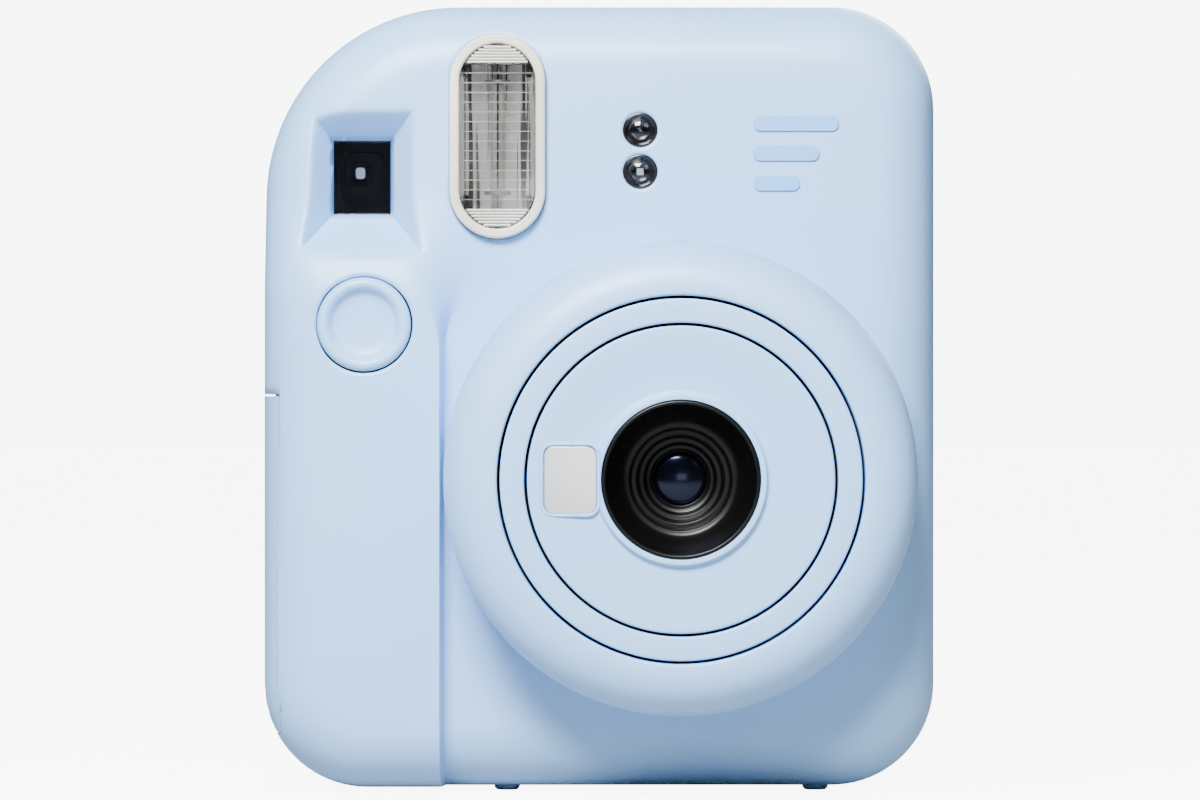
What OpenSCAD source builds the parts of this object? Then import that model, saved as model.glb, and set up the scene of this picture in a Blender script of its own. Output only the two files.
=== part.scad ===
// Instant camera: covers, extending lens, film transport, flash, viewfinder and doors.
// Millimetres. +Z up, the lens looks along -Y, the grip is on -X.
// The origin is under the middle of the whole camera, at the height of the feet.

/* [Body] */
// Width of the covers
body_w = 104; // [98:1:130]
// Height with the feet
body_h = 122; // [116:1:150]
// Depth of the covers, from front face to rear face
body_d = 44; // [43:1:60]
// Wall of the covers
wall = 2.2; // [1.6:0.1:2.6]
// Radius of the three small corners
corner_r = 16; // [12:1:22]
// Radius of the large corner over the viewfinder
shoulder_r = 30; // [24:1:36]
// Rounding of the front edge
edge_r = 10; // [6:0.5:11]
// Rounding of the rear edge
rear_edge_r = 6; // [4:0.5:8]
// Depth of the front cover
front_d = 22; // [18:0.5:26]
// How far the feet lift the covers
foot_h = 0.8; // [0.5:0.1:3]

/* [Grip and button] */
// Width of the raised grip
grip_w = 27.7; // [24:0.5:30]
// How far the grip stands out of the front face
grip_out = 4.5; // [2:0.5:8]
// Radius of the shutter button
button_r = 7.2; // [5:0.1:8]
// Travel of the shutter button
button_travel = 1.2; // [0.8:0.1:2]

/* [Lens] */
// Sideways place of the lens axis
lens_x = 12.2; // [8:0.1:13]
// Height of the lens axis
lens_z = 48.8; // [44:0.1:60]
// Outer radius of the lens housing
dome_r = 36; // [34:0.5:36]
// How far the lens housing stands out of the front face
dome_out = 20.3; // [18:0.1:26]
// Radius of the housing's bore
bore_r = 27.75; // [24:0.05:28.5]
// Width of the turning ring
ring_w = 3.65; // [2.5:0.05:5]
// Mouth radius of the lens cone
cone_r = 11.3; // [9:0.1:13]
// How far the barrel extends
barrel_travel = 10; // [6:0.5:12]

/* [Film] */
// Inside width of the film chamber
pack_w = 61; // [56:0.5:61]
// Inside height of the film chamber
pack_h = 93.4; // [88:0.2:93.4]
// Inside depth of the film chamber
pack_d = 17; // [14:0.5:17]
// Radius of the print rollers
roller_r = 4; // [3:0.1:4.2]
// Width of the print exit slot
slot_d = 5; // [4.6:0.1:6]

/* [Batteries] */
// Radius of one cell
cell_r = 7.25; // [5.2:0.05:7.25]
// Length of one cell
cell_h = 50.5; // [44:0.5:50.5]

/* [Doors] */
// Radius of the film door's hinge barrel
hinge_r = 2; // [1.8:0.1:2.2]
// Radius of the film door's hinge pin
pin_r = 1; // [0.8:0.1:1.2]
// Wall of the thin plates inside
sheet = 1.4; // [1:0.1:1.8]

/* [Fits] */
// Gap round panels and buttons that move
gap = 0.3; // [0.2:0.05:0.5]
// Radial running clearance of shafts and pins
run_fit = 0.06; // [0.03:0.01:0.09]
// Visible gap each side of the turning ring
ring_gap = 0.45; // [0.3:0.05:0.6]

/* [Hidden] */
$fn = 64;

eyepiece_out = 2.3;
depth = dome_out + body_d + eyepiece_out;
face_y = -depth / 2 + dome_out;
rear_y = face_y + body_d;
split_y = face_y + front_d;
left_x = -body_w / 2;
right_x = body_w / 2;
// Corner circles of the covers' outline: x, z and radius
CORNERS = [
  [left_x + shoulder_r, body_h - shoulder_r, shoulder_r],
  [right_x - corner_r, body_h - corner_r, corner_r],
  [right_x - corner_r, foot_h + corner_r, corner_r],
  [left_x + corner_r, foot_h + corner_r, corner_r]];
grip_y = face_y - grip_out;
grip_x = left_x + grip_w;
button_x = left_x + 15.8;
button_z = 72.4;
switch_y = grip_y + 10 + button_travel;
board_y = switch_y + 1.8;

// Lens group: heights are measured outwards from the front face
ring_ro = bore_r - ring_gap;
ring_ri = ring_ro - ring_w;
ring_top = dome_out - 0.3;
ring_bottom = ring_top - 5;
collar_r = ring_ri - run_fit;
panel_r = ring_ri - ring_gap;
panel_top = ring_top - 0.2;
panel_t = 2;
barrel_r = ring_ro - 0.2;
barrel_wall = 2;
web_top = ring_bottom - gap;
web_t = 2;
barrel_rear = 4 - barrel_travel;
guide_r = barrel_r + run_fit;
guide_top = 12;
cone_ro = cone_r + 0.7;
cone_rear = 3;
flange_top = web_top - web_t - 0.05;
blade_h = 1.3;
blade_t = 0.4;
shutter_top = 0.9;
shutter_t = 1.4;
glass_r = 4.1;
mirror_w = 7.9;
mirror_h = 10.1;
mirror_x = lens_x - 16.7;

// Film transport
film_y = face_y + 21;
chamber_x = lens_x - pack_w / 2;
chamber_z = foot_h + wall + 4.6;
chamber_top = chamber_z + pack_h;
chamber_rear = film_y + pack_d;
image_w = 46;
image_h = 62;
print_y = film_y + 1.3;
roller_z = body_h - 15;
roller_gap = 0.3;
roller_pitch = 2 * roller_r + roller_gap;
drive_y = print_y - roller_pitch / 2;
pinch_y = print_y + roller_pitch / 2;
roller_len = pack_w - 2;
shaft_r = 1.4;
frame_x = pack_w / 2 + 0.1;
plate_t = 1.6;
gear_x0 = lens_x + pack_w / 2 + 2.3;
gear_w = 2.6;
gear_teeth = 16;
pinion_teeth = 8;
gear_m = roller_pitch / gear_teeth;
train_a = 30;
idler_y = drive_y - roller_pitch * sin(train_a);
idler_z = roller_z - roller_pitch * cos(train_a);
mesh_d = gear_m * (gear_teeth + pinion_teeth) / 2;
motor_y = idler_y - mesh_d * sin(train_a);
motor_z = idler_z - mesh_d * cos(train_a);
motor_r = 6;
motor_len = 19;
slot_y0 = print_y - slot_d / 2;
slot_y1 = print_y + slot_d / 2;
slot_len = pack_w - 3;

// Film door, on the rear: its hinge barrel lies in the rounding of the rear edge
door_x0 = chamber_x - 1.7;
door_x1 = right_x - 5;
door_z0 = chamber_z - sheet + 0.2;
door_z1 = chamber_top + 1.2;
door_y = rear_y - wall - 3;
hinge_x = right_x - 2.8;
hinge_y = rear_y - 3.8;
latch_x = door_x0 + 5.6;
latch_z = 58;
latch_travel = 4;
liner_y = rear_y - wall - 2;

// Battery compartment, in the grip
cell_x = left_x + 13.6;
cell_z = foot_h + 9.7;
cell_gap = 0.3;
cell_y = [grip_y + 13.1, grip_y + 13.1 + 2 * cell_r + cell_gap];
cell_fit = 0.15;
box_y0 = cell_y[0] - cell_r - cell_fit;
box_y1 = cell_y[1] + cell_r + cell_fit;
box_x1 = cell_x + cell_r + cell_fit;
box_x0 = left_x + 5.4;
box_z1 = cell_z + cell_h + 2;
contact_t = 1.2;
bdoor_y0 = grip_y + 3.2;
bdoor_y1 = box_y1 - 1.4;
bdoor_z0 = cell_z - 1;
bdoor_z1 = cell_z + cell_h + 0.4;
bhinge_x = left_x + 1.8;
bhinge_y = bdoor_y1 + 1.8;
bhinge_r = 1.5;
bpin_r = 0.8;

// Viewfinder, flash and sensors
finder_x = left_x + 15.1;
finder_z = body_h - 26.7;
finder_w = 8.2;
finder_h = 10.8;
recess_w = 16;
recess_h = 20;
recess_d = 6;
tube_w = finder_w + 3.4;
tube_h = finder_h + 3.4;
flash_x = -15.8;
flash_z = body_h - 20.6;
flash_w = 14.8;
flash_h = 31.5;
flash_out = 1.6;
rim_w = 1.5;
sensor_x = 6.2;
sensor_r = 2.7;
sensor_z = [body_h - 19.6, body_h - 26];

// Strap lugs, feet, screws and counter
lug_y = split_y + 3.5;
lug_z = body_h - 25.5;
lug_in = 8;
lug_bar_r = 1;
lug_depth = 5.2;
foot_r = 2;
foot_x = [-14.5, 33.6];
foot_y = [face_y + 12, rear_y - 12];
screw_at = [[left_x + 24.6, 13.5], [left_x + 25, body_h - 14], [sensor_x, body_h - 12.5], [38, body_h - 14]];
screw_head_r = 2;
screw_r = 1;
boss_r = 2.6;
boss_len = 6;
counter_x = left_x + 22;
counter_z = 26;
dial_r = 6.5;
dial_pin_r = 0.9;

BLUE = [0.79, 0.87, 0.94];
DARK = [0.10, 0.10, 0.11];

// --- small helpers ---
module box(low, high) {
  translate(low) cube(high - low);
}
module y_cyl(r, y0, y1, x, z) {
  translate([x, y0, z]) rotate([-90, 0, 0]) cylinder(r = r, h = y1 - y0);
}
module x_cyl(r, x0, x1, y, z) {
  translate([x0, y, z]) rotate([0, 90, 0]) cylinder(r = r, h = x1 - x0);
}
module z_cyl(r, z0, z1, x, y) {
  translate([x, y, z0]) cylinder(r = r, h = z1 - z0);
}
// A flat shape drawn in X and Z, as thick as y0 to y1
module y_plate(y0, y1) {
  translate([0, y1, 0]) rotate([90, 0, 0]) linear_extrude(y1 - y0) children();
}
module rounded(w, h, r, x = 0, z = 0) {
  translate([x, z]) {
    square([w - 2 * r, h], center = true);
    square([w, h - 2 * r], center = true);
    for (sx = [-1, 1], sz = [-1, 1])
      translate([sx * (w / 2 - r), sz * (h / 2 - r)]) circle(r = r);
  }
}
module stadium(w, h, x, z) {
  translate([x, z]) {
    square([w, h - w], center = true);
    for (s = [-1, 1]) translate([0, s * (h - w) / 2]) circle(r = w / 2);
  }
}
// A profile of radius and height, turned about the lens axis; height points forwards
module about_lens() {
  translate([lens_x, face_y, lens_z]) rotate([90, 0, 0]) rotate_extrude() children();
}
function arc(cx, cy, r, a0, a1, n) = [for (i = [0:n]) let (a = a0 + (a1 - a0) * i / n)
  [cx + r * cos(a), cy + r * sin(a)]];
// A disc with rounded rims, its axis along Y
module soft_disc(x, z, r, y0, y1, e0, e1) {
  h = y1 - y0;
  translate([x, y0, z]) rotate([-90, 0, 0])
    rotate_extrude($fn = 36)
      polygon(concat([[0, 0]], arc(r - e0, e0, e0, -90, 0, 6), arc(r - e1, h - e1, e1, 0, 90, 6), [[0, h]]));
}
module body_solid(inset) {
  hull()
    for (c = CORNERS)
      soft_disc(c[0], c[1], c[2] - inset, face_y + inset, rear_y - inset, edge_r - inset, rear_edge_r - inset);
}
// The grip: a raised front that fades out above the button and ends in a step at grip_x
module grip_solid(inset) {
  y0 = grip_y + inset;
  y1 = split_y + 8;
  e = edge_r - inset;
  intersection() {
    hull()
      for (x = [0, grip_w]) {
        soft_disc(left_x + corner_r + x, foot_h + corner_r, corner_r - inset, y0, y1, e, 0.5);
        soft_disc(left_x + 14 + x, button_z, 14 - inset, y0, y1, e, 0.5);
        soft_disc(left_x + 16 + x, finder_z - 8, 16 - inset, face_y + inset, y1, e, 0.5);
      }
    box([left_x - 1, grip_y - 1, -1], [grip_x - inset, split_y + 9, body_h]);
  }
}
module covers_shell() {
  difference() {
    union() {
      body_solid(0);
      grip_solid(0);
    }
    body_solid(wall);
    grip_solid(wall);
  }
}
// A gear with its axis along X; a tooth is centred at angle phase in the Y-Z plane
module gear(teeth, x0, y, z, bore, phase) {
  pitch_r = gear_m * teeth / 2;
  tip = pitch_r + 0.8 * gear_m;
  root = pitch_r - 1.15 * gear_m;
  step = 360 / teeth;
  outline = [for (i = [0:teeth - 1], k = [[root, -0.26], [tip, -0.11], [tip, 0.11], [root, 0.26]])
    let (a = phase + step * (i + k[1])) [k[0] * cos(a), k[0] * sin(a)]];
  translate([x0, y, z]) rotate([90, 0, 90]) linear_extrude(gear_w) difference() {
    polygon(outline);
    if (bore > 0) circle(r = bore);
  }
}
function mesh_phase(line, driver_phase, driver_teeth, teeth) =
  line + 180 + 180 / teeth - (driver_phase - line) * driver_teeth / teeth;
// A coil spring along +Z from the origin, six-sided wire
module coil(r, wire, turns, length) {
  steps = 10;
  count = turns * steps;
  ring = [for (i = [0:count]) let (a = 360 * i / steps, h = wire + (length - 2 * wire) * i / count)
    [for (k = [0:5]) let (b = 60 * k, q = r + wire * cos(b)) [q * cos(a), q * sin(a), h + wire * sin(b)]]];
  points = [for (one = ring) each one];
  sides = [for (i = [0:count - 1], k = [0:5]) let (n = (k + 1) % 6, j = i + 1)
    each [[6 * i + k, 6 * j + k, 6 * j + n], [6 * i + k, 6 * j + n, 6 * i + n]]];
  ends = [[0, 1, 2, 3, 4, 5], [for (k = [5:-1:0]) 6 * count + k]];
  polyhedron(points, concat(sides, ends));
}

// --- covers ---
// The four-sided funnel in front of the viewfinder, grown by t on every side
module finder_recess(t) {
  w = finder_w + 0.6 + 2 * t;
  h = finder_h + 0.6 + 2 * t;
  hull() {
    translate([finder_x, face_y - 4, finder_z])
      cube([recess_w + 3 + 2 * t, 0.02, recess_h + 3 + 2 * t], center = true);
    translate([finder_x, face_y + recess_d, finder_z]) cube([w, 0.02, h], center = true);
  }
}
module lug_holes() {
  for (s = [-1, 1])
    translate([s * (body_w / 2 - 2), lug_y, lug_z])
      cube([2 * lug_depth, lug_in + 2.4, lug_in + 2.4], center = true);
}
module battery_opening() {
  box([left_x - 1, bdoor_y0 - gap, bdoor_z0 - gap], [left_x + 8, bdoor_y1 + gap, bdoor_z1 + gap]);
  z_cyl(2.9, bdoor_z0 - gap, bdoor_z1 + gap, bhinge_x, bhinge_y);
}
module foot_sockets() {
  for (x = foot_x, y = foot_y) z_cyl(foot_r + 0.02, -1, foot_h + 1.2, x, y);
}
module print_slot() {
  box([lens_x - slot_len / 2, slot_y0, body_h - wall - 2], [lens_x + slot_len / 2, slot_y1, body_h + 1]);
}
module finder_hole() {
  box([finder_x - tube_w / 2 - 0.1, face_y + recess_d - 1, finder_z - tube_h / 2 - 0.1],
      [finder_x + tube_w / 2 + 0.1, rear_y + 1, finder_z + tube_h / 2 + 0.1]);
}
module front_cover() {
  color(BLUE) difference() {
    union() {
      intersection() {
        covers_shell();
        box([left_x - 1, grip_y - 1, -1], [right_x + 1, split_y, body_h + 1]);
      }
      intersection() {
        finder_recess(1.4);
        body_solid(0.05);
      }
    }
    y_cyl(dome_r - 2, face_y - 0.5, face_y + wall + 1, lens_x, lens_z);
    y_cyl(dome_r + gap, grip_y - 1, face_y, lens_x, lens_z);
    finder_recess(0);
    y_plate(face_y - 3, face_y + 8) stadium(flash_w + 0.2, flash_h + 0.2, flash_x, flash_z);
    for (z = sensor_z) y_cyl(sensor_r, face_y - 1, face_y + wall + 1, sensor_x, z);
    y_cyl(button_r + gap, grip_y - 1, face_y + 3, button_x, button_z);
    battery_opening();
    lug_holes();
    foot_sockets();
    print_slot();
  }
}
function hinge_cuts() = [for (k = [0, 0.13, 0.25, 0.46, 0.57, 0.84, 0.95]) door_z0 + k * (door_z1 - door_z0)];
module rear_cover() {
  cuts = hinge_cuts();
  color(BLUE) {
    difference() {
      intersection() {
        covers_shell();
        box([left_x - 1, split_y, -1], [right_x + 1, rear_y + 1, body_h + 1]);
      }
      box([door_x0 - gap, door_y - gap, door_z0 - gap], [right_x + 1, rear_y + 1, door_z1 + gap]);
      z_cyl(hinge_r + 0.4, door_z0 - gap, door_z1 + gap, hinge_x, hinge_y);
      battery_opening();
      lug_holes();
      foot_sockets();
      print_slot();
      finder_hole();
      y_plate(rear_y - 5, rear_y + 1) rounded(7.2, 5.2, 1, counter_x, counter_z + 3.4);
      for (p = screw_at) {
        y_cyl(screw_head_r + 0.1, rear_y - 1.3, rear_y + 1, p[0], p[1]);
        y_cyl(screw_r, rear_y - wall - 1, rear_y, p[0], p[1]);
      }
    }
    for (p = screw_at) difference() {
      y_cyl(boss_r, rear_y - wall - boss_len, rear_y - wall, p[0], p[1]);
      y_cyl(screw_r, rear_y - wall - boss_len - 1, rear_y, p[0], p[1]);
    }
    // fixed knuckles of the film door
    for (k = [1, 3, 5]) difference() {
      union() {
        z_cyl(hinge_r, cuts[k], cuts[k + 1], hinge_x, hinge_y);
        box([hinge_x - 1, door_y - 1.8, cuts[k]], [hinge_x + 1.6, hinge_y, cuts[k + 1]]);
      }
      z_cyl(pin_r, cuts[k] - 1, cuts[k + 1] + 1, hinge_x, hinge_y);
    }
    // fixed knuckles of the battery door, on webs inside the wall
    for (z0 = [bdoor_z0 + 9, bdoor_z1 - 13]) difference() {
      union() {
        z_cyl(bhinge_r, z0, z0 + 8, bhinge_x, bhinge_y);
        box([bhinge_x + 0.7, bhinge_y - 0.8, z0], [bhinge_x + 2.4, bhinge_y + 5, z0 + 8]);
        box([left_x + 1, bhinge_y + 3.2, z0], [bhinge_x + 2.4, bhinge_y + 5, z0 + 8]);
      }
      z_cyl(bpin_r, z0 - 1, z0 + 9, bhinge_x, bhinge_y);
    }
  }
}

// --- lens group ---
module lens_housing() {
  r = 7.4;
  top = dome_out - r;
  lip = bore_r + 1.5;
  inner = r - 2;
  lip_a = acos((lip - dome_r + r) / inner);
  color(BLUE) about_lens() polygon(concat(
    [[dome_r - 2, 0], [dome_r, 0]],
    arc(dome_r - r, top, r, 0, 90, 14),
    [[bore_r + 0.4, dome_out], [bore_r, dome_out - 0.4], [bore_r, guide_top + gap], [lip, guide_top + gap]],
    arc(dome_r - r, top, inner, lip_a, 0, 8)));
}
module barrel_guide() {
  color(DARK) about_lens() polygon([[guide_r, -5], [guide_r + 1.6, -5], [guide_r + 1.6, 0], [dome_r - 2.05, 0],
    [dome_r - 2.05, 1.5], [guide_r + 1.6, 1.5], [guide_r + 1.6, guide_top], [guide_r, guide_top]]);
}
module lens_barrel() {
  r1 = barrel_r - barrel_wall;
  color(BLUE) about_lens() polygon([[barrel_r, barrel_rear], [barrel_r, web_top], [collar_r, web_top],
    [collar_r, panel_top - panel_t], [collar_r - 2, panel_top - panel_t], [collar_r - 2, web_top],
    [cone_ro + 0.6, web_top], [cone_ro + 0.6, web_top - web_t], [r1, web_top - web_t], [r1, barrel_rear]]);
}
module lens_ring() {
  color(BLUE) about_lens() polygon([[ring_ri, ring_bottom], [ring_ro, ring_bottom], [ring_ro, ring_top - 0.5],
    [ring_ro - 0.15, ring_top - 0.15], [ring_ro - 0.5, ring_top], [ring_ri + 0.4, ring_top],
    [ring_ri, ring_top - 0.4]]);
}
module mirror_shape(extra) {
  rounded(mirror_w + extra, mirror_h + extra, 1.4, mirror_x, lens_z);
}
module face_panel() {
  lip = cone_ro + 0.05;
  color(BLUE) difference() {
    about_lens() polygon([[lip, panel_top - panel_t], [panel_r, panel_top - panel_t],
      [panel_r, panel_top - 0.4], [panel_r - 0.4, panel_top], [lip + 1, panel_top],
      [lip + 0.6, panel_top + 0.35], [lip, panel_top + 0.35]]);
    y_plate(face_y - panel_top - 1, face_y - panel_top + 1.2) mirror_shape(0.2);
  }
}
module selfie_mirror() {
  color([0.75, 0.76, 0.78]) y_plate(face_y - panel_top + 0.3, face_y - panel_top + 1.15) mirror_shape(0);
}
module lens_cone() {
  mouth = panel_top + 0.3;
  color(DARK) about_lens() polygon([[cone_r, mouth], [cone_r - 0.4, mouth - 1.1], [8.4, 14.4], [7.6, 14.4],
    [7.1, 12.6], [6.3, 12.6], [5.8, 10.8], [5.1, 10.8], [4.7, 9.9], [glass_r, 9.9], [glass_r, 7], [3.4, 7],
    [3.4, cone_rear], [cone_ro, cone_rear], [cone_ro, flange_top - 1.4], [20, flange_top - 1.4],
    [20, flange_top], [cone_ro, flange_top], [cone_ro, mouth]]);
}
module front_element() {
  rise = 0.9;
  edge = 8.4;
  r = (glass_r * glass_r + rise * rise) / (2 * rise);
  a = asin(glass_r / r);
  color([0.2, 0.2, 0.25]) about_lens()
    polygon(concat([[0, 7.02], [glass_r - 0.02, 7.02]], arc(0, edge + rise - r, r, 90 - a + 0.3, 90, 8)));
}
module blade_post(h0, h1, r) {
  y_cyl(r, face_y - h1, face_y - h0, lens_x + 9.5, lens_z + 6);
}
module shutter_plate() {
  color(DARK) {
    difference() {
      union() {
        y_cyl(17, face_y - shutter_top, face_y - shutter_top + shutter_t, lens_x, lens_z);
        y_cyl(6.2, face_y - shutter_top, face_y + 3.2, lens_x, lens_z);
      }
      y_cyl(3.6, face_y - 2, face_y + 0.5, lens_x, lens_z);
      y_cyl(4.7, face_y + 0.5, face_y + 4, lens_x, lens_z);
    }
    for (a = [80, 170, 350])
      y_cyl(1.2, face_y - flange_top + 1.4, face_y - shutter_top, lens_x + 15 * cos(a), lens_z + 15 * sin(a));
    blade_post(shutter_top, cone_rear - 0.1, 0.8);
  }
}
module shutter_blade() {
  color([0.2, 0.2, 0.2]) y_plate(face_y - blade_h - blade_t, face_y - blade_h) difference() {
    union() {
      translate([lens_x, lens_z]) circle(r = 4.4);
      translate([lens_x + 9.5, lens_z + 6]) circle(r = 2);
      translate([lens_x + 4.75, lens_z + 3]) rotate(atan2(6, 9.5)) square([11, 3], center = true);
    }
    translate([lens_x + 9.5, lens_z + 6]) circle(r = 0.8 + run_fit);
  }
}
module shutter_solenoid() {
  color([0.55, 0.35, 0.2]) {
    x_cyl(2.4, lens_x - 5, lens_x + 3, face_y - 4.2, lens_z - 14.5);
    for (x = [lens_x - 6, lens_x + 3])
      box([x, face_y - 6.6, lens_z - 15.9], [x + 1, face_y - shutter_top, lens_z - 12.6]);
  }
}
module rear_element() {
  color([0.2, 0.2, 0.25]) about_lens()
    polygon([[0, -2.6], [3, -2.4], [4.68, -1.8], [4.68, -0.55], [0, -0.55]]);
}
module light_cone() {
  front = face_y - barrel_rear + 1.6;
  color(DARK) difference() {
    hull() {
      box([lens_x - image_w / 2 - sheet, film_y - sheet - 0.4, lens_z - image_h / 2 - sheet],
          [lens_x + image_w / 2 + sheet, film_y - sheet, lens_z + image_h / 2 + sheet]);
      box([lens_x - 17, front, lens_z - 20], [lens_x + 17, front + 0.4, lens_z + 20]);
    }
    hull() {
      box([lens_x - image_w / 2, film_y - sheet - 0.4, lens_z - image_h / 2],
          [lens_x + image_w / 2, film_y + 0.1, lens_z + image_h / 2]);
      box([lens_x - 15.6, front - 0.1, lens_z - 18.6], [lens_x + 15.6, front + 0.4, lens_z + 18.6]);
    }
  }
}

// --- film transport ---
module film_chamber() {
  color(DARK) difference() {
    box([chamber_x - sheet, film_y - sheet, chamber_z - sheet],
        [chamber_x + pack_w + sheet, chamber_rear, chamber_top]);
    box([chamber_x, film_y, chamber_z], [chamber_x + pack_w, chamber_rear + 1, chamber_top + 1]);
    box([lens_x - image_w / 2, film_y - 3, lens_z - image_h / 2],
        [lens_x + image_w / 2, film_y + 1, lens_z + image_h / 2]);
    box([chamber_x + pack_w - 1, film_y + 3.4, chamber_z + 2],
        [chamber_x + pack_w + 3, film_y + 6.6, chamber_z + 17]);
  }
}
module roller_frame() {
  color(DARK) difference() {
    union() {
      for (s = [-1, 1])
        translate([lens_x + s * (frame_x + plate_t / 2), (drive_y + pinch_y) / 2, roller_z])
          cube([plate_t, roller_pitch + 8, 11.4], center = true);
      box([lens_x - frame_x - 0.1, drive_y - roller_r - 0.1, roller_z + 4.9],
          [lens_x + frame_x + 0.1, drive_y - 0.6, roller_z + 5.7]);
    }
    for (y = [drive_y, pinch_y]) x_cyl(shaft_r + run_fit, lens_x - 40, lens_x + 40, y, roller_z);
  }
}
module roller(y, phase) {
  x_cyl(roller_r, lens_x - roller_len / 2, lens_x + roller_len / 2, y, roller_z);
  x_cyl(shaft_r, lens_x - frame_x - plate_t - 0.6, gear_x0 + gear_w, y, roller_z);
  gear(gear_teeth, gear_x0, y, roller_z, 0, phase);
}
// Directions in the Y-Z plane: pinch roller at 0, idler below and in front of the drive roller
idler_line = 270 - train_a;
drive_phase = 0;
idler_phase = mesh_phase(idler_line, drive_phase, gear_teeth, gear_teeth);
module drive_roller() {
  color([0.3, 0.3, 0.32]) roller(drive_y, drive_phase);
}
module pinch_roller() {
  color([0.6, 0.6, 0.62]) roller(pinch_y, mesh_phase(0, drive_phase, gear_teeth, gear_teeth));
}
module idler_gear() {
  color("white") gear(gear_teeth, gear_x0, idler_y, idler_z, 1 + run_fit, idler_phase);
}
module motor_pinion() {
  color("gold") {
    gear(pinion_teeth, gear_x0, motor_y, motor_z, 0,
      mesh_phase(idler_line, idler_phase, gear_teeth, pinion_teeth));
    x_cyl(0.75, gear_x0 - 1.5, gear_x0 + 0.1, motor_y, motor_z);
  }
}
module motor() {
  color("silver") x_cyl(motor_r, gear_x0 - 1.6 - motor_len, gear_x0 - 1.6, motor_y, motor_z);
}
module motor_bracket() {
  color("darkgray") {
    difference() {
      box([gear_x0 - 1.5, motor_y - motor_r, motor_z - motor_r], [gear_x0 - 0.4, idler_y + 2, idler_z + 1.4]);
      x_cyl(0.9, gear_x0 - 3, gear_x0, motor_y, motor_z);
    }
    x_cyl(1, gear_x0 - 0.4, gear_x0 + gear_w + 0.3, idler_y, idler_z);
  }
}
module film_pick() {
  x = chamber_x + pack_w + sheet + 0.2;
  color("silver") {
    box([x, film_y + 2.6, chamber_z + 4], [x + 1, film_y + 7, chamber_z + 60]);
    box([x - 2.6, film_y + 4, chamber_z + 4], [x, film_y + 6, chamber_z + 6]);
  }
}
module counter_dial() {
  y = rear_y - 4.4;
  color("white") y_plate(y, y + 1) translate([counter_x, counter_z]) difference() {
    union() {
      circle(r = dial_r - 0.7);
      for (i = [0:11]) rotate(30 * i + 15) translate([dial_r - 1, 0]) square([1.6, 1.4], center = true);
    }
    circle(r = dial_pin_r + run_fit);
  }
}
module dial_bracket() {
  y = rear_y - 5.8;
  color(DARK) {
    box([counter_x - 7, y, counter_z - 5], [counter_x + 7, y + 1.1, counter_z + 5]);
    y_cyl(dial_pin_r, y + 1, rear_y - 3, counter_x, counter_z);
  }
}
module counter_window() {
  color([0.8, 0.85, 0.9]) y_plate(rear_y - 1.6, rear_y - 0.4) rounded(7, 5, 0.9, counter_x, counter_z + 3.4);
}

// --- shutter button, boards, flash and viewfinder ---
module shutter_button() {
  color(BLUE) {
    translate([button_x, 0, button_z]) rotate([90, 0, 0]) rotate_extrude() polygon(concat(
      [[0, -grip_y - 3.4], [button_r, -grip_y - 3.4]],
      arc(button_r - 1, -grip_y - 0.2, 1, 0, 90, 5),
      [[button_r - 2, -grip_y + 0.65], [4.7, -grip_y - 0.1], [3, -grip_y - 0.5], [0, -grip_y - 0.7]]));
    y_cyl(2, grip_y + 3.3, grip_y + 9.6, button_x, button_z);
  }
}
module button_spring() {
  color("silver") translate([button_x, grip_y + 5.2, button_z]) rotate([-90, 0, 0]) coil(3, 0.3, 4, 5.6);
}
module button_switch() {
  color(DARK) box([button_x - 3, switch_y, button_z - 3], [button_x + 3, board_y, button_z + 3]);
}
module main_board() {
  y = board_y;
  color([0.1, 0.35, 0.2]) box([left_x + 6, y, button_z - 8], [left_x + 27, y + 1.2, button_z + 13]);
}
module flash_board() {
  y = face_y + 11;
  color([0.1, 0.35, 0.2]) box([flash_x - 8, y, flash_z - 15], [flash_x + 18, y + 1.2, flash_z + 14]);
}
module flash_capacitor() {
  color([0.15, 0.15, 0.3]) x_cyl(4.5, sensor_x + 6, sensor_x + 34, face_y + 7.2, body_h - 12.6);
}
module flash_bezel() {
  front = face_y - flash_out;
  color([0.87, 0.87, 0.84]) difference() {
    y_plate(front, face_y + 4) stadium(flash_w, flash_h, flash_x, flash_z);
    y_plate(front - 1, face_y + 5) stadium(flash_w - 2 * rim_w, flash_h - 2 * rim_w, flash_x, flash_z);
    y_plate(face_y - 0.3, face_y + 5) stadium(flash_w - rim_w, flash_h - rim_w, flash_x, flash_z);
  }
}
module flash_window() {
  color([0.9, 0.92, 0.95]) y_plate(face_y - flash_out + 0.1, face_y - 0.3)
    stadium(flash_w - 2 * rim_w, flash_h - 2 * rim_w, flash_x, flash_z);
}
module flash_reflector() {
  half = flash_w / 2 - rim_w - 0.3;
  deep = 7.6;
  wall_t = 0.5;
  outer = [for (i = [-8:8]) let (u = i / 8) [u * half, deep * (1 - u * u)]];
  inner = [for (i = [8:-1:-8]) let (u = i / 8) [u * (half - wall_t), (deep - wall_t) * (1 - u * u)]];
  color("silver") translate([flash_x, face_y, flash_z - 11.2])
    linear_extrude(22.4) polygon(concat(outer, inner));
}
module flash_tube() {
  y = face_y + 4;
  color([0.85, 0.9, 0.95]) {
    z_cyl(1.2, flash_z - 11.4, flash_z + 11.4, flash_x, y);
    for (z = [flash_z - 13.4, flash_z + 11.4]) z_cyl(1.5, z, z + 2, flash_x, y);
  }
}
module sensor_windows() {
  color(DARK) for (z = sensor_z) y_cyl(sensor_r - 0.1, face_y + 0.1, face_y + 1.1, sensor_x, z);
}
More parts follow.
